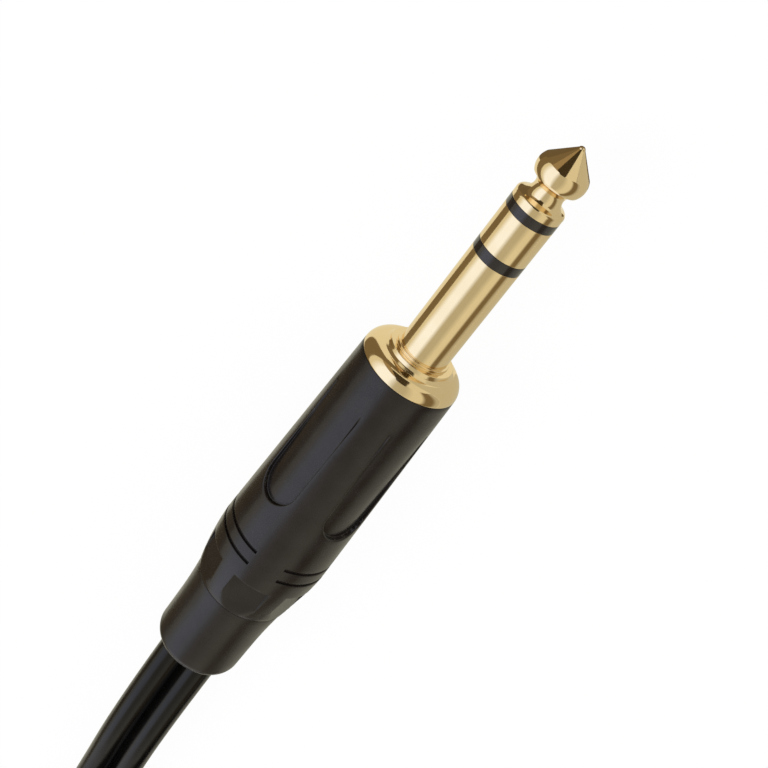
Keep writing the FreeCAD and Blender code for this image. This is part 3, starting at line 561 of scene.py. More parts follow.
WARM: Triple = (1.0, 0.92, 0.89)
FINISHES: tuple[Finish, ...] = (
    Finish("gold", Base.METAL, (0.93, 0.735, 0.455), (0.90, 0.705, 0.425), (0.08, 0.13),
           turning_height=1.2e-7, scratch=0.06),
    Finish("isolator_black", Base.GLOSSY_PLASTIC, (0.009, 0.0075, 0.0075), (0.013, 0.011, 0.011), (0.12, 0.2),
           tint=WARM),
    Finish("housing_black", Base.SATIN_PLASTIC, (0.0062, 0.005, 0.0049), (0.0095, 0.0078, 0.0076), (0.23, 0.31),
           grain_height=2.5e-6, scratch=0.08, mirror=0.46, tint=WARM),
    Finish("boot_black", Base.SOFT_PLASTIC, (0.0065, 0.0052, 0.005), (0.0095, 0.0078, 0.0076), (0.27, 0.35),
           grain_scale=7000.0, grain_height=2.5e-6, mirror=0.46, tint=WARM),
    Finish("jacket_black", Base.SOFT_PLASTIC, (0.0024, 0.0022, 0.0021), (0.0038, 0.0035, 0.0033), (0.18, 0.26),
           grain_scale=2600.0, grain_height=5e-6, mirror=0.22, tint=WARM),
    Finish("tinned_metal", Base.METAL, (0.72, 0.70, 0.66), (0.62, 0.60, 0.57), (0.28, 0.45),
           grain_height=2e-6),
    Finish("fibre", Base.SATIN_PLASTIC, (0.30, 0.16, 0.09), (0.38, 0.22, 0.12), (0.55, 0.7),
           grain_scale=3000.0, grain_height=8e-6),
    Finish("tube_clear", Base.SOFT_PLASTIC, (0.62, 0.60, 0.55), (0.70, 0.68, 0.62), (0.3, 0.4),
           grain_height=1e-6),
    Finish("core_red", Base.SOFT_PLASTIC, (0.52, 0.03, 0.025), (0.46, 0.025, 0.02), (0.3, 0.42),
           grain_height=2e-6),
    Finish("core_white", Base.SOFT_PLASTIC, (0.74, 0.73, 0.69), (0.68, 0.66, 0.61), (0.3, 0.42),
           grain_height=2e-6),
    Finish("copper", Base.METAL, (0.86, 0.42, 0.27), (0.68, 0.30, 0.19), (0.25, 0.45),
           grain_scale=5000.0, grain_height=1.2e-5),
    Finish("insulator_white", Base.SOFT_PLASTIC, (0.74, 0.72, 0.66), (0.68, 0.66, 0.60), (0.32, 0.45),
           grain_height=1.5e-6),
    Finish("shell_black", Base.GLOSSY_PLASTIC, (0.014, 0.014, 0.015), (0.02, 0.02, 0.021), (0.26, 0.36),
           grain_height=1.5e-6, scratch=0.1),
    Finish("band_white", Base.GLOSSY_PLASTIC, (0.74, 0.73, 0.70), (0.68, 0.67, 0.63), (0.22, 0.34),
           grain_height=1e-6),
    Finish("band_red", Base.GLOSSY_PLASTIC, (0.50, 0.02, 0.02), (0.42, 0.015, 0.015), (0.22, 0.34),
           grain_height=1e-6),
    Finish("strap_black", Base.TEXTILE, (0.010, 0.010, 0.011), (0.034, 0.034, 0.036), (0.7, 0.9),
           weave_height=1.2e-4, sheen=0.25),
    Finish("stitch_grey", Base.TEXTILE, (0.060, 0.058, 0.056), (0.095, 0.092, 0.088), (0.55, 0.7),
           grain_scale=12000.0, grain_height=1e-5, sheen=0.2),
)


class Wardrobe:
    """Every finish as a material, put on pieces by the record's slot name."""

    def __init__(self) -> None:
        """Makes the shared effects and the materials."""
        effects = Effects()
        self.materials = {finish.name: finish.make(effects) for finish in FINISHES}

    def dress(self, piece: bpy.types.Object, slot: str) -> bpy.types.Object:
        """Puts a finish on a piece.

        Args:
            piece: The piece, which may be a node of the solids.
            slot: The finish's name.

        Returns:
            The same piece.
        """
        slots = piece.data.materials
        if len(slots):
            slots[0] = self.materials[slot]
        else:
            slots.append(self.materials[slot])
        return piece


@dataclass
class Assembly:
    """A sub-assembly that dresses its pieces from the wardrobe."""

    wardrobe: Wardrobe

    def settle(self, piece: bpy.types.Object, body: str, slot: str, *nodes: str,
               finish: str = "") -> bpy.types.Object:
        """Dresses a new piece, makes it ride, and lets it stand for its solids.

        Args:
            piece: The piece.
            body: The body that it moves with.
            slot: Its slot, which is its finish too.
            nodes: The solids that it stands for.
            finish: Its finish where that isn't the slot's.

        Returns:
            The piece.
        """
        self.wardrobe.dress(piece, finish or slot)
        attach(piece, body)
        if nodes:
            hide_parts(*nodes)
        LOG.info("%s: %d faces on %s", piece.name, len(getattr(piece.data, "polygons", ())), body)
        return piece


# Jack


@dataclass
class Contacts(Assembly):
    """The turned contacts and isolators of the shank, and the threaded spigot. Lengths are in millimetres."""

    shank: float = 3.175
    sleeve_front: float = 14.75
    ring_rear: float = 16.1
    ring_front: float = 21.1
    tip_rear: float = 22.3
    rod: float = 0.95
    tip_tube: Pair = (0.98, 1.36)
    ring_tube: Pair = (1.39, 1.77)
    outer_tube: Pair = (1.80, 2.18)
    sleeve_bore: float = 2.21
    spigot: float = 4.86
    crest: float = 5.28
    pitch: float = 1.0
    edge: float = 0.07
    tube_rears: Triple = (-13.9, -13.15, -11.95)
    thread: Pair = (-8.7, -3.5)

    def tip(self) -> list[Pair]:
        """The tip's profile, from the rivet at its rear to its nose.

        Returns:
            The profile.
        """
        collar, neck, shoulder, cone, nose = 23.05, 23.45, 25.95, 28.05, 30.6
        low = self.shank - 0.3
        rear = soften([(-15.05, 0.0), (-15.05, 1.05, 0.1), (-14.35, 1.5, 0.1), (-14.35, self.rod),
                       (self.tip_rear, self.rod), (self.tip_rear, self.shank, self.edge), (collar, self.shank)])
        return [*rear, *arc_through((collar, self.shank), (neck, low), 0.48, 6), (neck, low),
                *arc_through((neck, low), (shoulder, low), -1.3, 20), (shoulder, low),
                *arc_through((shoulder, low), (cone, low), 2.0, 20), (cone, low), (nose, 0.42),
                *arc_through((nose, 0.42), (nose + 0.3, 0.0), 0.44, 8), (nose + 0.3, 0.0)]

    def collared(self, tube: Pair, tube_rear: float, rear: float, front: float) -> list[Pair]:
        """The profile of a nested tube with a collar as wide as the shank.

        Args:
            tube: The tube's inner and outer radius.
            tube_rear: Where the tube ends behind.
            rear: Where the collar begins.
            front: Where the collar ends.

        Returns:
            The profile.
        """
        bore, outer = tube
        return soften([(tube_rear, bore), (front, bore), (front, self.shank, self.edge),
                       (rear, self.shank, self.edge), (rear, outer), (tube_rear, outer)])

    def sleeve(self) -> list[Pair]:
        """The sleeve's profile: shank, stepped hub, domed flange, spigot and boss.

        Returns:
            The profile.
        """
        dome_front, dome_rear = (-1.15, 4.7), (-3.05, 6.5)
        front = soften([(-11.5, self.sleeve_bore), (self.sleeve_front, self.sleeve_bore),
                        (self.sleeve_front, self.shank, self.edge), (0.0, self.shank, 0.05), (0.0, 3.5, 0.08),
                        (-0.35, 3.5, 0.05), (-0.35, 4.25, 0.1), (-0.85, 4.25, 0.12), dome_front])
        rear = soften([(-3.0, 6.46), (-3.05, 6.4, 0.04), (-3.05, self.spigot), (-9.0, self.spigot, 0.1),
                       (-9.0, 4.75), (-11.5, 4.75, 0.1), (-11.5, self.sleeve_bore)])
        dome = arc_through(dome_front, dome_rear, -1.9, 22)
        return [*front, *dome, *rear[:-1]]

    def build(self) -> None:
        """Makes the contacts, the isolators and the thread."""
        self.settle(turned("tip_turned", self.tip(), 160), "plug_body", "gold", "tip_contact")
        spans = ((self.ring_front, self.tip_rear), (self.ring_rear, self.ring_front),
                 (self.sleeve_front, self.ring_rear))
        tubes = (self.tip_tube, self.ring_tube, self.outer_tube)
        names = (("front_ring_black", "isolator_black", "front_isolator"), ("ring_turned", "gold", "ring_contact"),
                 ("rear_ring_black", "isolator_black", "rear_isolator"))
        for (name, slot, node), tube, tube_rear, span in zip(names, tubes, self.tube_rears, spans):
            piece = turned(name, self.collared(tube, tube_rear, *span), 160, closed=True)
            self.settle(piece, "plug_body", slot, node)
        sleeve = turned("sleeve_turned", self.sleeve(), 192, closed=True)
        self.settle(sleeve, "plug_body", "gold", "sleeve_contact")
        ridge = Thread(self.wardrobe, self.spigot, self.crest, self.pitch, *self.thread).build("jack_thread")
        self.settle(ridge, "plug_body", "gold")


@dataclass
class Thread(Assembly):
    """A ridge that winds round a spigot, made by a node tree. Lengths are in millimetres."""

    root: float
    crest: float
    pitch: float
    rear: float
    front: float
    sunk: float = 0.08

    def build(self, name: str, place: Optional[Matrix] = None) -> bpy.types.Object:
        """Makes the ridge.

        Args:
            name: The piece's name.
            place: Where it goes, applied to its mesh.

        Returns:
            The ridge as a plain mesh.
        """
        tree = bpy.data.node_groups.get("screw_ridge") or self.make_tree()
        length = self.front - self.rear
        made = run_tree(name, tree, {
            "Turns": length / self.pitch, "Radius": (self.root - self.sunk) * MM, "Length": length * MM,
            "Ridge": (self.crest - self.root + self.sunk) * MM,
        })
        made.data.transform(Matrix.Translation((self.rear * MM, 0.0, 0.0)))
        if place is not None:
            made.data.transform(place)
        clean_mesh(made.data)
        made.data.shade_smooth()
        made.data.set_sharp_from_angle(angle=math.radians(50.0))
        return made

    def make_tree(self) -> bpy.types.NodeTree:
        """Makes the node tree of a ridge swept along a helix round X.

        Returns:
            The tree, with the turns, the radius, the length and the ridge's height as inputs.
        """
        graph, given, made = start_group(
            "screw_ridge", {"Turns": 5.0, "Radius": 0.005, "Length": 0.005, "Ridge": 0.0004}, ("Geometry",), True)
        helix = graph.add("GeometryNodeCurveSpiral", {
            "Resolution": 96, "Rotations": given.outputs["Turns"], "Start Radius": given.outputs["Radius"],
            "End Radius": given.outputs["Radius"], "Height": given.outputs["Length"],
        })
        section = graph.add("GeometryNodeCurvePrimitiveCircle", {"Resolution": 8, "Radius": given.outputs["Ridge"]})
        sweep = graph.add("GeometryNodeCurveToMesh", {
            "Curve": helix.outputs[0], "Profile Curve": section.outputs["Curve"], "Fill Caps": True,
        })
        turn = graph.add("GeometryNodeTransform", {
            "Geometry": sweep.outputs[0], "Rotation": (0.0, math.radians(90.0), 0.0),
        })
        return end_tree(graph, made, turn.outputs[0], self.wardrobe.materials["gold"])


@dataclass(frozen=True)
class Cut:
    """A flat-bottomed cut seen from straight above, with rounded edges. Lengths are in millimetres.

    The cut is open towards one end, lies between two straight sides, and ends round or square.
    """

    half: float
    end: float
    way: float
    round_end: bool
    rounding: float
    fillet: float

    def distance(self, along: float, across: float) -> float:
        """How far a place lies outside the cut's outline.

        Args:
            along: The place along the axis.
            across: The place across it.

        Returns:
            The distance, negative inside the outline.
        """
        past = (self.end - along) * self.way
        side = abs(across) - self.half
        if self.round_end:
            past += self.half
            return math.hypot(past, across) - self.half if past > 0 else side
        if past > 0 and side > 0:
            return math.hypot(past, side)
        return max(past, side)

    def loop(self, offset: float, open_end: float, step: float) -> list[Pair]:
        """The outline moved outwards by an offset, from the open end round to the open end.

        Args:
            offset: How far it is moved. A negative offset moves it inwards.
            open_end: Where the two sides begin.
            step: The spacing of points on the sides.

        Returns:
            The outline's points.
        """
        half = self.half + offset
        corner = self.end + self.way * (self.half if self.round_end else max(-offset, 0.0))
        count = max(int(abs(open_end - corner) / step), 1)
        side = [(open_end + (corner - open_end) * i / count, half) for i in range(count)]
        back = [(x, -y) for x, y in side[::-1]]
        if self.round_end:
            turns = [math.pi * i / 40 for i in range(41)]
            return [*side, *[(corner - self.way * half * math.sin(a), half * math.cos(a)) for a in turns], *back]
        bend, front, flat = [(corner, half)], corner, half
        if offset > 0:
            turns = [math.pi / 2 * i / 6 for i in range(7)]
            bend = [(self.end - self.way * offset * math.sin(a), self.half + offset * math.cos(a)) for a in turns]
            front, flat = self.end - self.way * offset, self.half
        cells = 12
        middle = [(front, flat - 2 * flat * i / cells) for i in range(1, cells)]
        return [*side, *bend, *middle, *[(x, -y) for x, y in bend[::-1]], *back]

    def height(self, base: float, floor: float, distance: float) -> float:
        """The surface's height over the axis at a distance from the outline.

        Args:
            base: The height where nothing is cut.
            floor: The cut's floor.
            distance: The distance outside the outline.

        Returns:
            The height, with the edge's rounding and the floor's fillet.
        """
        low = min(base, floor)
        if distance >= 0:
            near = max(self.rounding - distance, 0.0)
            drop = self.rounding - math.sqrt(self.rounding ** 2 - near ** 2)
            return max(base - drop, low)
        near = max(self.fillet + distance, 0.0)
        rise = self.fillet - math.sqrt(self.fillet ** 2 - near ** 2)
        return min(base, floor + rise)


@dataclass
class Housing(Assembly):
    """The black shell with its panels, grooves and flats. Lengths are in millimetres.

    It is one closed skin. The bands with panels and with flats are cut into triangles along the edges of
    the cuts, and the band with the grooves is a grid that follows them.
    """

    front: float = -3.05
    front_radius: float = 6.5
    widest: float = -35.4
    widest_radius: float = 7.6
    rear: float = -44.0
    rear_radius: float = 6.65
    tail_centre: Pair = (-34.059, -42.381)
    tail_arc: float = 50.0
    chamfer: float = 0.18
    seam: float = 0.15
    panel_floor: float = 6.64
    panel: Cut = Cut(3.05, -26.4, 1.0, True, 0.24, 0.12)
    panel_open: float = -8.7
    panels_end: float = -28.0
    flat_height: float = 6.58
    flat: Cut = Cut(2.5, -38.0, -1.0, False, 0.1, 0.08)
    flat_open: float = -41.55
    grooves_end: float = -36.4
    groove_places: Pair = (-32.95, -35.05)
    groove_half: float = 0.25
    groove_depth: float = 0.35
    groove_reach: float = 74.0
    mouth: float = 5.36

    def base(self, along: float) -> float:
        """The shell's radius where nothing is cut out: a taper, then an arc to the rear end.

        Args:
            along: The place along the axis.

        Returns:
            The radius.
        """
        if along >= self.widest:
            share = (self.front - along) / (self.front - self.widest)
            return self.front_radius + (self.widest_radius - self.front_radius) * share
        reach = along - self.tail_centre[0]
        return self.tail_centre[1] + math.sqrt(self.tail_arc ** 2 - reach ** 2)

    def angles(self) -> list[float]:
        """The angles from +Z towards +Y, in degrees, that all bands share, closer at the grooves' ends.

        Returns:
            The angles, in order.
        """
        made = {round(3.75 * i, 4) for i in range(96)}
        for middle in (90.0, 270.0):
            for end in (-self.groove_reach, self.groove_reach):
                way = 1.0 if end > 0 else -1.0
                for step in (-1.6, -0.9, -0.45, -0.2, 0.0, 0.35, 0.8):
                    made.add(round((middle + end + way * step) % 360.0, 4))
        return sorted(made)

    def point(self, along: float, across: float, height: float, turn: float) -> Vector:
        """A place given in the plane of a cut.

        Args:
            along: The place along the axis.
            across: The place across the cut.
            height: The height over the axis.
            turn: How far the cut is turned from +Z towards +Y, in degrees.

        Returns:
            The place.
        """
        c, s = math.cos(math.radians(turn)), math.sin(math.radians(turn))
        return Vector((along, height * s + across * c, height * c - across * s))

    def sector(self, middle: float, half_angle: float, start: float, stop: float, cut: Cut,
               open_end: float, floor_of: Callable[[float], float]) -> Skin:
        """One sector of a band, cut into triangles along a cut's edges.

        Args:
            middle: The sector's middle angle in degrees.
            half_angle: Half its width in degrees.
            start: The band's end nearer the tip.
            stop: The band's end further from the tip.
            cut: The cut in the sector's middle.
            open_end: Where the cut's outlines begin.
            floor_of: The cut's floor height at a place across it.

        Returns:
            Points and triangles.
        """
        count = max(int((start - stop) / 0.62), 4)
        stations = [start + (stop - start) * i / count for i in range(count + 1)]
        local = [((a - middle + 180.0) % 360.0) - 180.0 for a in self.angles()]
        inner = sorted(a for a in local if -half_angle + 1e-3 < a < half_angle - 1e-3)
        row = [-half_angle, *inner, half_angle]

        def across(along: float, angle: float) -> float:
            """The place across the cut where the plain shell is at an angle."""
            return self.base(along) * math.sin(math.radians(angle))

        edge = [(start, across(start, a)) for a in row]
        edge += [(x, across(x, half_angle)) for x in stations[1:]]
        edge += [(stop, across(stop, a)) for a in row[::-1][1:]]
        edge += [(x, across(x, -half_angle)) for x in stations[::-1][1:-1]]
        places: list[Pair] = list(edge)
        lines = [(i, (i + 1) % len(edge)) for i in range(len(edge))]
        offsets = (cut.rounding, cut.rounding * 0.66, cut.rounding * 0.36, cut.rounding * 0.14, 0.0,
                   -0.02, -cut.fillet * 0.5, -cut.fillet)
        for offset in offsets:
            loop = cut.loop(offset, open_end, 0.4)
            first = len(places)
            places += loop
            lines += [(first + i, first + i + 1) for i in range(len(loop) - 1)]
        plain = [-half_angle + 2 * half_angle * i / 24 for i in range(1, 24)]
        for x in stations[1:-1]:
            for angle in plain:
                y = across(x, angle)
                away = cut.distance(x, y)
                if -cut.fillet - 0.13 < away < cut.rounding + 0.13 and (x - open_end) * cut.way < 0.1:
                    continue
                places.append((x, y))
        result = delaunay_2d_cdt([Vector(p) for p in places], lines, [list(range(len(edge)))], 1, 1e-6)
        points = []
        for spot in result[0]:
            x, y = spot.x, spot.y
            base = math.sqrt(max(self.base(x) ** 2 - y * y, 0.0))
            points.append(self.point(x, y, cut.height(base, floor_of(y), cut.distance(x, y)), middle))
        return points, [list(face) for face in result[2]]

    def groove_band(self) -> Skin:
        """The band with the arc grooves, as a grid.

        Returns:
            Points and faces.
        """
        half, depth = self.groove_half, self.groove_depth
        side = ((0.36, 0.0), (0.3, 0.02), (0.265, 0.1), (half, 0.3), (half * 0.9, 0.85), (half * 0.7, 1.0))
        shape = (*[(-shift, share) for shift, share in side], (0.0, 1.0), *side[::-1])
        plain = (-28.6, -29.3, -30.0, -30.7, -31.4, -32.0, -33.6, -34.0, -34.4, -35.8, -36.1)
        rows = dict.fromkeys((self.panels_end, self.grooves_end, self.widest, *plain), 0.0)
        for place in self.groove_places:
            rows.update({place + shift: share * depth for shift, share in shape})
        rings = []
        for x in sorted(rows, reverse=True):
            rings.append([])
            for angle in self.angles():
                inside = self.groove_reach - abs((angle % 180.0) - 90.0)
                share = min(max((inside + 0.1) / 0.8, 0.0), 1.0)
                radius = self.base(x) - rows[x] * share * share * (3 - 2 * share)
                rings[-1].append(self.point(x, 0.0, radius, angle))
        return loft(rings)

    def tail_edge(self, stop: float) -> Skin:
        """The seam's rounded edge, which joins the band with the flats to the rear face.

        Args:
            stop: Where the band with the flats ends.

        Returns:
            Points and faces.
        """
        base, rings = self.base(stop), []
        for x, drop in ((stop, 0.0), (self.rear + 0.09, 0.025), (self.rear + 0.03, 0.085)):
            rings.append([])
            for angle in self.angles():
                side = ((angle + 30.0) % 60.0) - 30.0
                across = base * math.sin(math.radians(side))
                height = self.flat.height(base * math.cos(math.radians(side)), self.flat_height,
                                          self.flat.distance(stop, across))
                shrink = min((base - drop) / math.hypot(across, height), 1.0)
                rings[-1].append(self.point(x, across * shrink, height * shrink, angle - side))
        rings.append([self.point(self.rear, 0.0, self.rear_radius - self.seam, angle) for angle in self.angles()])
        return loft(rings)

    def build(self) -> None:
        """Makes the shell."""
        start, stop = self.front - self.chamfer, self.rear + self.seam
        parts = [self.groove_band()]
        for middle in (45.0, 135.0, 225.0, 315.0):
            parts.append(self.sector(middle, 45.0, start, self.panels_end, self.panel, self.panel_open,
                                     lambda y: math.sqrt(max(self.panel_floor ** 2 - y * y, 0.0))))
        for middle in range(0, 360, 60):
            parts.append(self.sector(float(middle), 30.0, self.grooves_end, stop, self.flat, self.flat_open,
                                     lambda y: self.flat_height))
        inner = soften([(start, self.base(start)), (self.front - 0.05, self.front_radius - 0.06),
                        (self.front, self.front_radius - self.chamfer, 0.05), (self.front, self.mouth, 0.1),
                        (-9.4, self.mouth), (-9.4, 5.5), (-36.2, 5.5), (-36.2, 6.0), (-37.4, 6.0), (-37.4, 5.45),
                        (self.rear, 5.45), (self.rear, self.rear_radius - self.seam)])
        parts.append(loft([[self.point(x, 0.0, radius, angle) for angle in self.angles()] for x, radius in inner]))
        parts.append(self.tail_edge(stop))
        shell = make_piece("housing_shell", *merged(parts), 40.0)
        self.settle(shell, "housing", "housing_black", "housing")


@dataclass
class Boot(Assembly):
    """The smooth rear bushing with a slot for the twin lead. Lengths are in millimetres."""

    front: float = -36.25
    flange: float = 5.95
    flange_rear: float = -37.35
    spigot: float = 5.4
    outer_front: float = -44.05
    outer: float = 6.55
    waist: Pair = (-50.7, 6.15)
    rear: float = -58.0
    rear_radius: float = 6.1
    rounding: float = 1.8
    slot_half: float = 2.45
    slot_straight: float = 2.2
    lip: float = 0.12
    relief: float = 0.45
    edge: float = 0.13
    count: int = 160

    def slot(self, angle: float, grow: float = 0.0) -> float:
        """How far the slot's edge lies from the axis.

        Args:
            angle: The angle from +Z towards +Y.
            grow: How much wider the slot is than at its narrowest.

        Returns:
            The distance.
        """
        half = self.slot_half + grow
        across, up = abs(math.sin(angle)), abs(math.cos(angle))
        if up > 1e-9 and half / up * across <= self.slot_straight:
            return half / up
        straight = self.slot_straight
        return straight * across + math.sqrt((straight * across) ** 2 - straight ** 2 + half ** 2)

    def room(self, angle: float) -> float:
        """How far the slot's mouth is eased on the side that the lead bends to, for the bushing's travel."""
        return self.relief * max(0.0, -0.35 * math.sin(angle) - 0.95 * math.cos(angle))

    def rear_skin(self, radius: float) -> float:
        """Where the rear face lies.

        Args:
            radius: The distance from the axis.

        Returns:
            The place along the axis.
        """
        flat = self.rear_radius - self.rounding
        if radius <= flat:
            return self.rear
        reach = min(radius - flat, self.rounding)
        return self.rear + self.rounding - math.sqrt(self.rounding ** 2 - reach ** 2)

    def build(self) -> None:
        """Makes the bushing."""
        turns = [2 * math.pi * i / self.count for i in range(self.count)]

        def lay(stations: Iterable[float], radii: Iterable[float]) -> list[Vector]:
            """A ring with a station along the axis and a radius for each angle."""
            return [spot(x, r, a) for x, r, a in zip(stations, radii, turns)]

        outside = soften([(self.front, self.flange - 0.4), (self.front, self.flange, 0.1),
                          (self.flange_rear, self.flange, 0.1), (self.flange_rear, self.spigot),
                          (self.outer_front, self.spigot), (self.outer_front, self.outer, self.edge),
                          (-45.2, 6.44), (-46.8, 6.32), (-48.6, 6.215), self.waist, (-53.5, 6.12),
                          (self.rear + self.rounding, self.rear_radius)])
        for step in range(1, 9):
            angle = math.radians(7.0 * step)
            outside.append((self.rear + self.rounding * (1 - math.sin(angle)),
                            self.rear_radius - self.rounding * (1 - math.cos(angle))))
        plain = [self.slot(a) for a in turns]
        rings = [lay([self.front] * self.count, [self.slot(a, 0.2) for a in turns])]
        rings += [lay([x] * self.count, [r] * self.count) for x, r in outside]
        last = outside[-1][1]
        for share in (0.33, 0.66, 1.0):
            radii = [last + (self.slot(a, self.lip) + self.room(a) - last) * share for a in turns]
            rings.append(lay(map(self.rear_skin, radii), radii))
        for grow, depth in ((self.lip * 0.4, 0.035), (self.lip * 0.1, 0.09), (0.0, 0.2)):
            stations = [self.rear_skin(self.slot(a, self.lip)) + depth for a in turns]
            rings.append(lay(stations, [self.slot(a, grow) + self.room(a) for a in turns]))
        rings += [lay([x] * self.count, plain) for x in (self.rear + 8.0, self.front + 0.2)]
        bushing = make_piece("boot_bushing", *loft(rings, closed=True), 40.0)
        self.settle(bushing, "boot", "boot_black", "boot")


# Phono plugs


@dataclass
class PhonoPlug(Assembly):
    """One phono plug with its tip towards -X. Lengths are in millimetres, from its flange's front face."""

    side: str
    behind: float
    across: float
    height: float = -1.55
    slot_half: float = 0.4
    slot_end: float = 2.03

    @property
    def place(self) -> Matrix:
        """The plug's place: turned half round, and moved to where it lies."""
        spot = Vector((-self.behind, self.across, self.height)) * MM
        return Matrix.Translation(spot) @ Matrix.Rotation(math.pi, 4, "Z")

    def lathe(self, part: str, profile: Sequence[tuple[float, ...]], body: str, slot: str,
              closed: bool = True, count: int = 120) -> None:
        """Turns one of the plug's pieces and settles it in the place of its solid.

        Args:
            part: The piece's name without the plug's.
            profile: Its profile, as for soften().
            body: The body that it moves with.
            slot: Its slot.
            closed: True if the profile closes on itself.
            count: How many points go round.
        """
        piece = turned(f"phono_{self.side}_{part}", soften(profile), count, closed, 32.0, self.place)
        self.settle(piece, body, slot, f"rca_{self.side}_{part}")

    def fingers(self) -> Skin:
        """The four fingers of the slotted ground ring, as closed blocks.

        Returns:
            Points and faces.
        """
        profile = soften([(1.6, 4.15), (2.0, 4.15), (2.06, 4.15), (8.2, 4.15), (8.2, 4.6, 0.05), (7.9, 4.75, 0.2),
                          (2.06, 4.75), (2.0, 4.75), (1.6, 4.75)])
        blocks, steps = [], 26
        for quarter in range(4):
            rings = []
            for step in range(steps + 1):
                rings.append([])
                for along, radius in profile:
                    gap = math.asin(self.slot_half / radius) if along > self.slot_end else -0.01
                    low, high = gap, math.pi / 2 - gap
                    rings[-1].append(spot(along, radius, quarter * math.pi / 2 + low + (high - low) * step / steps))
            blocks.append(loft(rings, capped=True))
        return merged(blocks)

    def build(self) -> None:
        """Makes the plug's pieces."""
        side, band = self.side, "band_white" if self.side == "left" else "band_red"
        boot_body, barrel_body = f"rca_{side}_boot", f"rca_{side}_barrel"
        self.lathe("shell", [(-7.5, 3.2), (0.0, 3.2), (0.0, 4.15), (1.9, 4.15), (1.9, 4.75), (0.0, 4.75),
                             (0.0, 5.6, 0.12), (-1.5, 5.6, 0.12), (-1.5, 4.62), (-6.5, 4.62, 0.1), (-6.5, 4.5),
                             (-7.5, 4.5, 0.08)], "plug_body", "gold", count=128)
        ring_piece = make_piece(f"phono_{side}_fingers", *self.fingers(), 32.0, self.place)
        self.settle(ring_piece, "plug_body", "gold")
        ridge = Thread(self.wardrobe, 4.62, 4.98, 1.0, -6.3, -1.9).build(f"phono_{side}_thread", self.place)
        self.settle(ridge, "plug_body", "gold")
        self.lathe("pin", [(14.0, 0.0), (14.0, 0.3), *arc_through((14.0, 0.45), (12.8, 1.6), -1.44, 10), (12.75, 1.6),
                           (1.5, 1.6), (1.5, 1.25), (-10.5, 1.25, 0.1), (-10.5, 0.0)],
                   "plug_body", "gold", closed=False)
        self.lathe("insulator", [(-7.5, 1.28), (1.5, 1.28, 0.05), (1.5, 4.0, 0.15), (0.0, 4.0), (0.0, 3.15),
                                 (-7.5, 3.15, 0.05)], "plug_body", "insulator_white")
        self.lathe("barrel", [(-1.5, 5.06, 0.1), (-1.5, 5.75, 0.1), (-1.8, 6.05, 0.15), (-17.7, 6.05, 0.06),
                              (-17.7, 5.6), (-20.2, 5.6), (-20.2, 6.05, 0.06), (-20.4, 6.05, 0.3),
                              (-25.9, 5.3, 0.25), (-25.9, 3.55, 0.05), (-21.9, 3.55), (-21.9, 5.06)],
                   barrel_body, "shell_black")
        self.lathe("band", [(-20.18, 5.62), (-17.72, 5.62), (-17.72, 6.05, 0.08), (-20.18, 6.05, 0.08)],
                   barrel_body, band)
        self.lathe("boot", [(-36.85, 2.55, 0.08), (-20.85, 2.55), (-20.85, 4.6, 0.1), (-21.85, 4.6, 0.1),
                            (-21.85, 3.5), (-25.95, 3.5), (-25.95, 4.5, 0.2), (-28.6, 4.235, 0.3),
                            (-31.3, 3.96, 0.3), (-34.0, 3.69, 0.3), (-36.7, 3.4, 0.1), (-36.85, 3.25, 0.1)],
                   boot_body, "boot_black")


# Studio


class Card(Enum):
    """The colours of the studio's cards."""

    DAYLIGHT = (0.90, 1.00, 1.20)
    CREAM = (1.00, 0.96, 0.76)
    TAN = (1.00, 0.75, 0.40)

    def glow(self, level: float) -> Triple:
        """The card's glow at a brightness."""
        red, green, blue = self.value
        return red * level, green * level, blue * level


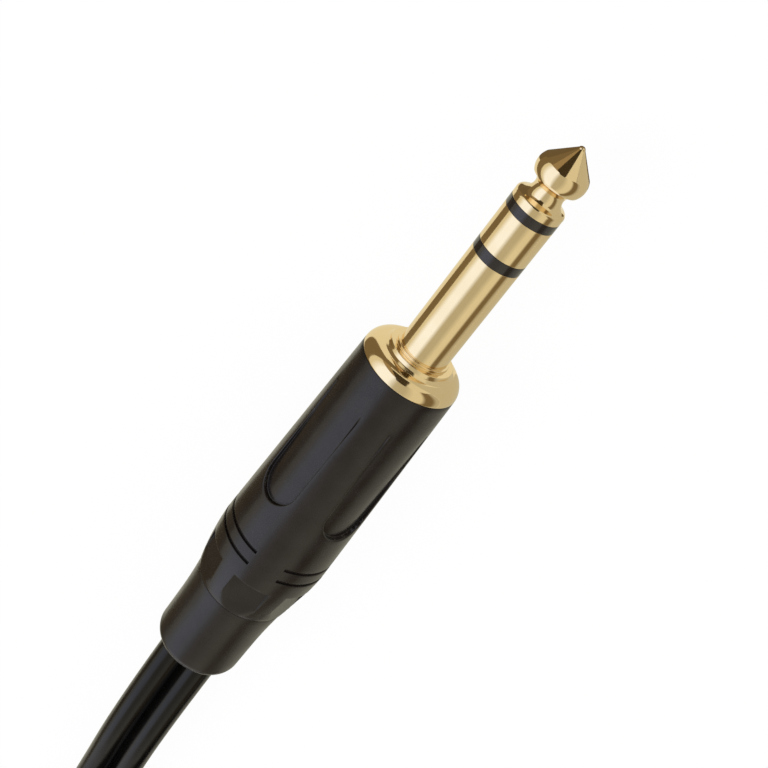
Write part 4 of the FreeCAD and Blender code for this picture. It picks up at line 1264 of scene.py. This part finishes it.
@dataclass
class Studio:
    """Camera, lamps, floor and the cards that the polished parts mirror. Lengths are in millimetres.

    The vault's panels each run from one angle to another, in one card colour and at one brightness. Three strips on
    the floor are painted shadow of the plug, which only mirrors show.
    """

    eye: Triple = (77.555, 22.283, 141.726)
    right: Triple = (0.52788, -0.82729, -0.19215)
    up: Triple = (0.68099, 0.54748, -0.48633)
    lens: float = 65.625
    card_reach: float = 420.0
    card_ends: Pair = (-900.0, 500.0)
    over: Triple = (0.0, 0.1461, 0.9893)
    aside: Triple = (0.0, -0.9893, 0.1461)
    grey: float = 0.36
    pale: float = 0.86
    floor_glow: float = 0.96
    floor_half: float = 2500.0
    vault: tuple[tuple[float, float, Card, float], ...] = (
        (-84.0, -72.0, Card.CREAM, 0.75), (-52.0, -20.0, Card.DAYLIGHT, 1.18), (-4.0, 18.0, Card.CREAM, 0.52),
        (38.0, 57.0, Card.CREAM, 0.76), (66.0, 82.0, Card.TAN, 0.20), (92.0, 99.0, Card.CREAM, 0.50),
    )
    strips: tuple[tuple[str, Pair, Pair, Card, float], ...] = (
        # Painted shadow: a dark sheet on the floor beside the plug, seen only in mirrors, standing in for the plug's
        # own shadow.
        ("left_painted_shadow", (-900.0, 500.0), (13.0, 410.0), Card.TAN, 0.20),
        ("right_strip", (-900.0, 500.0), (-7.0, -410.0), Card.CREAM, 0.57),
        # Painted shade: a dark sheet on the floor under and ahead of the tip, seen only in mirrors.
        ("tip_painted_shade", (25.0, 500.0), (-7.0, 13.0), Card.TAN, 0.15),
        # Painted shadow: a greyer sheet on the floor under the plug, seen only in mirrors.
        ("plug_painted_shadow", (-900.0, 25.0), (-7.0, 13.0), Card.CREAM, 0.82),
    )
    ahead: tuple[tuple[str, float, Pair, Pair, Card, float], ...] = (
        ("front_left", 506.0, (180.0, 420.0), (-7.0, 420.0), Card.TAN, 0.34),
        ("front_right", 506.0, (-420.0, 180.0), (-7.0, 420.0), Card.CREAM, 0.75),
        ("dark_panel", 340.0, (-55.0, 125.0), (34.0, 400.0), Card.TAN, 0.05),
    )

    def build(self) -> None:
        """Makes everything that isn't part of the object."""
        self.make_camera()
        self.make_world()
        self.make_floor()
        self.make_lamps()
        self.make_cards()

    def make_camera(self) -> None:
        """Places the camera as the photograph's."""
        data = bpy.data.cameras.new("camera")
        data.lens = self.lens
        data.clip_start, data.clip_end = 0.005, 20.0
        camera = link(bpy.data.objects.new("camera", data))
        right, up = Vector(self.right).normalized(), Vector(self.up).normalized()
        back = right.cross(up).normalized()
        up = back.cross(right)
        turn = Matrix((right, up, back)).transposed().to_4x4()
        camera.matrix_world = Matrix.Translation(Vector(self.eye) * MM) @ turn
        bpy.context.scene.camera = camera

    @staticmethod
    def split_rays(graph: Graph, lit: bpy.types.NodeSocket, seen: bpy.types.NodeSocket,
                   output: bpy.types.Node, share: float) -> None:
        """Shows one shader to the camera, in mirrors and in glass, and another one to all other rays.

        Args:
            graph: The material's or the world's graph.
            lit: The shader for all other rays.
            seen: The shader for direct rays.
            output: The graph's output node.
            share: How much of the direct rays it takes.
        """
        path = graph.add("ShaderNodeLightPath").outputs
        glossy = graph.math("MAXIMUM", path["Is Glossy Ray"], path["Is Transmission Ray"])
        direct = graph.math("MAXIMUM", path["Is Camera Ray"], glossy)
        mix = graph.add("ShaderNodeMixShader", {0: graph.math("MULTIPLY", direct, share), 1: lit, 2: seen})
        graph.feed(output, {"Surface": mix.outputs[0]})

    def make_world(self) -> None:
        """A plain grey room that shows as white to the camera, in mirrors and in glass."""
        world = bpy.data.worlds.new("room")
        world.use_nodes = True
        bpy.context.scene.world = world
        graph, nodes = Graph(world.node_tree), world.node_tree.nodes
        graph.feed(nodes["Background"], {"Color": (self.grey, self.grey, self.grey, 1.0)})
        white = graph.add("ShaderNodeBackground", {"Color": (1.0, 1.0, 1.0, 1.0)})
        self.split_rays(graph, nodes["Background"].outputs[0], white.outputs[0], nodes["World Output"], 1.0)
        bpy.context.scene.view_settings.view_transform = "Standard"

    def make_floor(self) -> None:
        """A wide pale floor that keeps the object's shadow."""
        half = self.floor_half
        corners = [Vector((x, y, FLOOR - 0.02)) for x, y in
                   ((-half, -half), (half, -half), (half, half), (-half, half))]
        floor = make_piece("floor", corners, [[0, 1, 2, 3]])
        material, graph = new_material("pale_floor")
        nodes = material.node_tree.nodes
        paint, glow = nodes["Principled BSDF"], graph.add("ShaderNodeEmission")
        graph.feed(paint, {"Base Color": (self.pale, self.pale, self.pale, 1.0), "Roughness": 0.8})
        self.split_rays(graph, paint.outputs[0], glow.outputs[0], nodes["Material Output"], self.floor_glow)
        floor.data.materials.append(material)

    def make_lamps(self) -> None:
        """Two soft boxes and a fill, aimed at the plug."""
        for name, place, side, watts in (
            ("left_box", (-260.0, 420.0, 520.0), 380.0, 3.0),
            ("right_box", (240.0, -460.0, 420.0), 420.0, 1.6),
            ("top_box", (-60.0, 0.0, 760.0), 600.0, 1.8),
        ):
            data = bpy.data.lights.new(name, "AREA")
            data.size = side * MM
            data.energy = watts
            lamp = link(bpy.data.objects.new(name, data))
            lamp.location = Vector(place) * MM
            lamp.rotation_mode = "QUATERNION"
            aim = Vector((-20.0, 0.0, 0.0)) * MM - lamp.location
            lamp.rotation_quaternion = aim.to_track_quat("-Z", "Y")
            lamp.visible_glossy = False

    def make_cards(self) -> None:
        """A vault over the plug, strips on the floor and cards ahead, which only polished surfaces show. Three of the
        strips are painted shadow round the plug.

        The vault's glow changes round the plug's axis. An angle of 0 lies straight over the plug on the
        camera's side, and a positive one towards -Y.
        """
        over, aside = Vector(self.over), Vector(self.aside)
        points, glows, faces = [], [], []
        steps = 96
        first, last = self.vault[0][0], self.vault[-1][1]
        for step in range(steps + 1):
            angle = first + (last - first) * step / steps
            away = over * math.cos(math.radians(angle)) + aside * math.sin(math.radians(angle))
            for along in self.card_ends:
                points.append(away * self.card_reach + Vector((along, 0.0, 0.0)))
                glows.append(self.glow_at(angle))
            if step:
                low = 2 * step - 2
                faces.append([low, low + 1, low + 3, low + 2])
        self.make_card("vault", points, faces, glows)
        flat = [(name, [(x, y, FLOOR + 0.4) for x, y in ((rear, near), (front, near), (front, far), (rear, far))],
                 card.glow(level)) for name, (rear, front), (near, far), card, level in self.strips]
        flat += [(name, [(x, y, z) for y, z in ((left, low), (right, low), (right, high), (left, high))],
                  card.glow(level)) for name, x, (left, right), (low, high), card, level in self.ahead]
        for name, corners, glow in flat:
            self.make_card(name, [Vector(corner) for corner in corners], [[0, 1, 2, 3]], [glow] * 4)

    def glow_at(self, angle: float) -> Triple:
        """The vault's glow at an angle: a panel's own, or a blend of its neighbours' between two panels.

        Args:
            angle: The angle in degrees, within the vault.

        Returns:
            The glow.
        """
        edges = [(edge, card.glow(level)) for first, last, card, level in self.vault for edge in (first, last)]
        for (low, before), (high, after) in zip(edges, edges[1:]):
            if angle <= high:
                share = (angle - low) / (high - low)
                red, green, blue = (a + (b - a) * share for a, b in zip(before, after))
                return red, green, blue
        return edges[-1][1]

    @staticmethod
    def make_card(name: str, points: Sequence[Vector], faces: Sequence[Sequence[int]],
                  glows: Sequence[Triple]) -> None:
        """Makes a glowing card that only mirrors show.

        Args:
            name: Its name.
            points: Its corners in millimetres.
            faces: Its faces.
            glows: The glow at each corner.
        """
        mesh = bpy.data.meshes.new(name)
        mesh.from_pydata([point * MM for point in points], [], faces)
        layer = mesh.color_attributes.new("glow", "FLOAT_COLOR", "POINT")
        for item, glow in zip(layer.data, glows):
            item.color = (*glow, 1.0)
        card = link(bpy.data.objects.new(name, mesh))
        material, graph = new_material(name)
        tint = graph.add("ShaderNodeAttribute", attribute_name="glow")
        shine = graph.add("ShaderNodeEmission", {"Color": tint.outputs["Color"]})
        graph.feed(material.node_tree.nodes["Material Output"], {"Surface": shine.outputs[0]})
        mesh.materials.append(material)
        for ray in ("camera", "diffuse", "shadow", "transmission"):
            setattr(card, f"visible_{ray}", False)


# Lead


@dataclass
class Lead(Assembly):
    """The twin lead, its hank and the two single leads. Lengths are in millimetres."""

    radius: float = 2.1
    pitch: float = 4.4
    web: float = 0.9
    valley: float = 0.2
    run: float = 80.0
    turn: float = 26.0
    front: Pair = (-122.0, -29.2)
    first_layer: float = -4.9
    layer: float = 4.3
    tail_height: float = 3.8
    turns: int = 2
    lead_in: tuple[Triple, ...] = ((-34.0, 0.0, 0.0), (-70.0, 0.0, 0.0), (-103.5, -2.9, -4.7),
                                   (-122.0, -3.2, -4.9))
    left_route: tuple[Triple, ...] = (
        (-122.0, -1.0, 3.8), (-147.0, -0.7, 3.9), (-174.5, -1.2, 3.9),
        (-202.5, -0.5, 5.6), (-232.0, 1.5, -1.55), (-262.0, 1.5, -1.55),
    )
    right_route: tuple[Triple, ...] = (
        (-122.0, -5.4, 3.8), (-149.0, -5.1, 3.9), (-179.5, -5.6, 3.9),
        (-210.5, -6.6, 7.4), (-240.5, -11.0, -1.55), (-271.0, -11.0, -1.55),
    )

    def hank_points(self) -> list[Vector]:
        """The hank's turns: two straight runs and two half turns each, climbing on the front half turn.

        Returns:
            The control points.
        """
        made: list[Vector] = []
        bends = 6
        step = 180.0 / bends
        outer = self.turn / math.cos(math.radians(step / 2))
        middle = Vector((self.front[0], self.front[1], 0.0))
        for lap in range(self.turns):
            height = self.first_layer + self.layer * lap
            rise = (self.layer if lap < self.turns - 1
                    else self.tail_height - self.first_layer - self.layer * lap)
            rear = middle - Vector((self.run, 0.0, 0.0))
            for along in (0.18, 0.4, 0.62, 0.84):
                made.append(Vector((middle.x - self.run * along, middle.y + self.turn, height)))
            for bend in range(bends):
                angle = math.radians(90.0 + step * (bend + 0.5))
                made.append(rear + Vector((math.cos(angle), math.sin(angle), 0.0)) * outer
                            + Vector((0.0, 0.0, height)))
            for along in (0.84, 0.62, 0.4, 0.18):
                made.append(Vector((middle.x - self.run * along, middle.y - self.turn, height)))
            for bend in range(bends):
                share = (bend + 0.5) / bends
                angle = math.radians(-90.0 + 180.0 * share)
                climb = min(share / 0.62, 1.0)
                climb = climb * climb * (3 - 2 * climb)
                made.append(middle + Vector((math.cos(angle), math.sin(angle), 0.0)) * outer
                            + Vector((0.0, 0.0, height + rise * climb)))
        end = Vector((self.front[0], self.front[1] + self.turn, self.tail_height))
        return [*made, end]

    @staticmethod
    def make_curve(name: str, points: Sequence[Vector], steps: int) -> bpy.types.Object:
        """Makes a smooth open spline on control points in millimetres.

        Args:
            name: The object's name.
            points: The route's points.
            steps: How finely each span is cut.

        Returns:
            The curve's object.
        """
        data = bpy.data.curves.new(name, "CURVE")
        data.dimensions = "3D"
        data.resolution_u = steps
        spline = data.splines.new("NURBS")
        spline.points.add(len(points) - 1)
        for point, place in zip(spline.points, points):
            point.co = (*(place * MM), 1.0)
        spline.order_u = 3
        spline.use_endpoint_u = True
        return link(bpy.data.objects.new(name, data))

    def centreline(self, points: Sequence[Vector], steps: int) -> list[Vector]:
        """Reads the route's own spline.

        Args:
            points: The route's points.
            steps: How finely each span is cut.

        Returns:
            Points on the spline, in millimetres.
        """
        guide = self.make_curve("twin_guide", points, steps)
        bpy.context.view_layer.update()
        seen = guide.evaluated_get(bpy.context.evaluated_depsgraph_get())
        mesh = bpy.data.meshes.new_from_object(seen)
        line = [vertex.co / MM for vertex in mesh.vertices]
        data = guide.data
        bpy.data.objects.remove(guide)
        bpy.data.curves.remove(data)
        bpy.data.meshes.remove(mesh)
        kept = [line[0]]
        for point in line[1:]:
            if (point - kept[-1]).length > 1e-3:
                kept.append(point)
        return kept

    def section(self) -> list[Pair]:
        """The twin's outline: two round jackets with a rounded valley above and below the web.

        Returns:
            The outline as (across, up).
        """
        half, steps = self.pitch / 2, 22
        inset = math.sqrt(self.radius ** 2 - (self.web / 2) ** 2)
        opening = math.atan2(self.web / 2, -inset)
        made: list[Pair] = []
        for way, first in ((1.0, 0.0), (-1.0, math.pi)):
            for index in range(steps + 1):
                angle = first - opening + 2 * opening * index / steps
                made.append((half * way + self.radius * math.cos(angle), self.radius * math.sin(angle)))
            made.append((0.0, (self.web / 2 - self.valley) * way))
        return made

    def build(self) -> None:
        route = [Vector(place) for place in self.lead_in] + self.hank_points()
        line = self.centreline(route, 12)
        rings = []
        for index, point in enumerate(line):
            before, after = line[max(index - 1, 0)], line[min(index + 1, len(line) - 1)]
            along = (after - before).normalized()
            side = Vector((0.0, 0.0, 1.0)).cross(along).normalized()
            over = along.cross(side)
            rings.append([point + side * across + over * height for across, height in self.section()])
        twin = make_piece("twin_lead", *loft(rings, capped=True), 50.0)
        self.settle(twin, "plug_body", "jacket_black", "twin_cable", "cable_hank")
        strap_pieces = Strap(self.wardrobe).build()
        for side, places in (("left", self.left_route), ("right", self.right_route)):
            tail = self.make_curve(f"{side}_lead", [Vector(place) for place in places], 16)
            tail.data.bevel_depth = (self.radius - 0.01) * MM
            tail.data.bevel_resolution = 8
            tail.data.use_fill_caps = True
            self.settle(tail, "plug_body", "jacket_black", f"{side}_tail")


@dataclass
class Strap(Assembly):
    """Hook-and-loop strap round the hank's far run. Lengths are in millimetres."""

    along: float = -162.0
    width: float = 10.0
    middle: float = -55.2
    half: float = 4.33
    low: float = -7.6
    high: float = 2.26
    sheet: float = 0.6
    bend: float = 2.2
    flap: tuple[float, float, float, float] = (-3.2, 3.2, 2.2, 0.55)
    flap_corner: float = 0.3
    stitches: int = 26
    stitch: Pair = (0.32, 0.95)
    stitch_inset: float = 0.9
    girth_radius: float = 6.2

    def loop(self, inset: float) -> list[Pair]:
        """The strap's path round the two strands, with round corners.

        Args:
            inset: How far the path lies inside the strap's outer face.

        Returns:
            The path as (across, up).
        """
        half = self.half + self.sheet - inset
        low, high = self.low + inset, self.high - inset
        bend = self.bend - inset
        return rounded(((half - bend, high - bend, bend, 0.0), (-half + bend, high - bend, bend, 90.0),
                        (-half + bend, low + bend, bend, 180.0), (half - bend, low + bend, bend, 270.0)), 8)

    def build(self) -> list[bpy.types.Object]:
        """Makes the strap, its free end and its stitches.

        Returns:
            The three pieces.
        """
        stations, squeeze = (0.0, 0.12, 0.35), (0.2, 0.06, 0.0, 0.0, 0.06, 0.2)
        edges = [-self.width / 2 + s for s in stations] + [self.width / 2 - s for s in stations[::-1]]
        order = list(zip(edges, squeeze))
        rings = []
        for loop_points, way in ((self.loop(0.0), -1.0), (self.loop(self.sheet - 0.05), 1.0)):
            for along, drop in order if way < 0 else order[::-1]:
                rings.append([Vector((self.along + along, self.middle + across * (1 - 0.02 * drop),
                                      up + way * drop * 0.5 * (1 if up > -2.5 else -1)))
                              for across, up in loop_points])
        strap = make_piece("hank_strap", *loft(rings, closed=True), 40.0)
        self.map_tape(strap)
        self.settle(strap, "plug_body", "strap_black", "cable_tie")
        return [strap, self.build_flap(), self.build_stitches()]

    def build_flap(self) -> bpy.types.Object:
        """Makes the strap's free end, pressed down on its top.

        Returns:
            The piece.
        """
        near, far, bend, sheet = self.flap
        edge, rings = self.flap_corner, []
        for inset, up in ((0.12, -0.02), (0.0, 0.08), (0.0, sheet - 0.12), (0.12, sheet)):
            half = self.width / 2 - inset
            outline = rounded(((half - edge, far - inset - edge, edge, 0.0),
                               (-half + edge, far - inset - edge, edge, 90.0),
                               (-half + bend, near + inset + bend, bend, 180.0),
                               (half - bend, near + inset + bend, bend, 270.0)), 6)
            rings.append([Vector((self.along + along, self.middle + across, self.high + up))
                          for along, across in outline])
        flap = make_piece("strap_flap", *loft(rings, capped=True), 40.0)
        self.map_tape(flap)
        return self.settle(flap, "plug_body", "strap_black")

    def build_stitches(self) -> bpy.types.Object:
        """Makes the two rows of stitches that run round the strap.

        Returns:
            The piece.
        """
        thickness, length = self.stitch
        stitches = run_tree("strap_stitches", self.make_stitch_tree(), {
            "Width": 2 * (self.half + self.sheet) * MM, "Height": (self.high - self.low) * MM,
            "Bend": self.bend * MM, "Stitches": float(self.stitches), "Thickness": thickness * MM,
            "Length": length * MM, "Row": (self.width / 2 - self.stitch_inset) * MM,
        })
        place = Vector((self.along, self.middle, (self.low + self.high) / 2))
        stitches.data.transform(Matrix.Translation(place * MM))
        clean_mesh(stitches.data, 1e-8)
        stitches.data.shade_smooth()
        return self.settle(stitches, "plug_body", "strap_black", finish="stitch_grey")

    def make_stitch_tree(self) -> bpy.types.NodeTree:
        """Makes the node tree of a rounded loop that carries a stitch at even steps, in two rows.

        Returns:
            The tree, with the loop's and the stitches' sizes as inputs.
        """
        graph, given, made = start_group("stitch_rows", {
            "Width": 0.01, "Height": 0.01, "Bend": 0.002, "Stitches": 26.0, "Thickness": 0.0003, "Length": 0.001,
            "Row": 0.004,
        }, ("Geometry",), True)
        sizes = given.outputs
        loop = graph.add("GeometryNodeCurvePrimitiveQuadrilateral",
                         {"Width": sizes["Width"], "Height": sizes["Height"]}, mode="RECTANGLE")
        bend = graph.add("GeometryNodeFilletCurve", {"Count": 8, "Curve": loop.outputs[0], "Radius": sizes["Bend"]},
                         mode="POLY")
        spaced = graph.add("GeometryNodeResampleCurve", {"Curve": bend.outputs[0], "Count": sizes["Stitches"]},
                           mode="COUNT")
        bead = graph.add("GeometryNodeMeshUVSphere", {"Segments": 8, "Rings": 6, "Radius": 0.5})
        size = graph.add("ShaderNodeCombineXYZ",
                         {"X": sizes["Thickness"], "Y": sizes["Thickness"], "Z": sizes["Length"]})
        tangent = graph.add("GeometryNodeInputTangent")
        turn = graph.add("FunctionNodeAlignRotationToVector", {"Vector": tangent.outputs[0]}, axis="Z")
        put = graph.add("GeometryNodeInstanceOnPoints", {
            "Points": spaced.outputs[0], "Instance": bead.outputs["Mesh"], "Rotation": turn.outputs[0],
            "Scale": size.outputs[0],
        })
        rows = graph.add("GeometryNodeJoinGeometry")
        for way in (-1.0, 1.0):
            shift = graph.add("ShaderNodeCombineXYZ", {"X": graph.math("MULTIPLY", sizes["Row"], way)})
            stand = graph.add("GeometryNodeTransform", {
                "Geometry": put.outputs[0], "Translation": shift.outputs[0],
                "Rotation": (math.radians(90.0), 0.0, math.radians(90.0)),
            })
            graph.feed(rows, {0: stand.outputs[0]})
        return end_tree(graph, made, rows.outputs[0], self.wardrobe.materials["stitch_grey"])

    def map_tape(self, strap: bpy.types.Object) -> None:
        """Lays a UV map in millimetres along and across the tape, which wraps round at its bottom.

        Args:
            strap: The piece that gets the map.
        """
        layer = strap.data.uv_layers.new(name="tape")
        centre_up = (self.low + self.high) / 2
        for loop in strap.data.loops:
            place = strap.data.vertices[loop.vertex_index].co / MM
            round_way = math.atan2(place.y - self.middle, place.z - centre_up) * self.girth_radius
            layer.data[loop.index].uv = (place.x - self.along, round_way)


def dress_solids(wardrobe: Wardrobe) -> None:
    """Gives every node of the solids its finish from the record."""
    for entry in frame["record"]["subparts"]:
        wardrobe.dress(frame["nodes"][entry["node"]], entry["material_slot"])


def main() -> None:
    """Builds the looks in order."""
    logging.basicConfig(level=logging.INFO, format="%(message)s")
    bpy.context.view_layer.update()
    Studio().build()
    wardrobe = Wardrobe()
    dress_solids(wardrobe)
    for kind in (Contacts, Housing, Boot):
        kind(wardrobe).build()
    for side, behind, across in (("left", 278.0, 1.5), ("right", 287.0, -11.0)):
        PhonoPlug(wardrobe, side, behind, across).build()
    Lead(wardrobe).build()


if __name__ == "__main__":
    main()
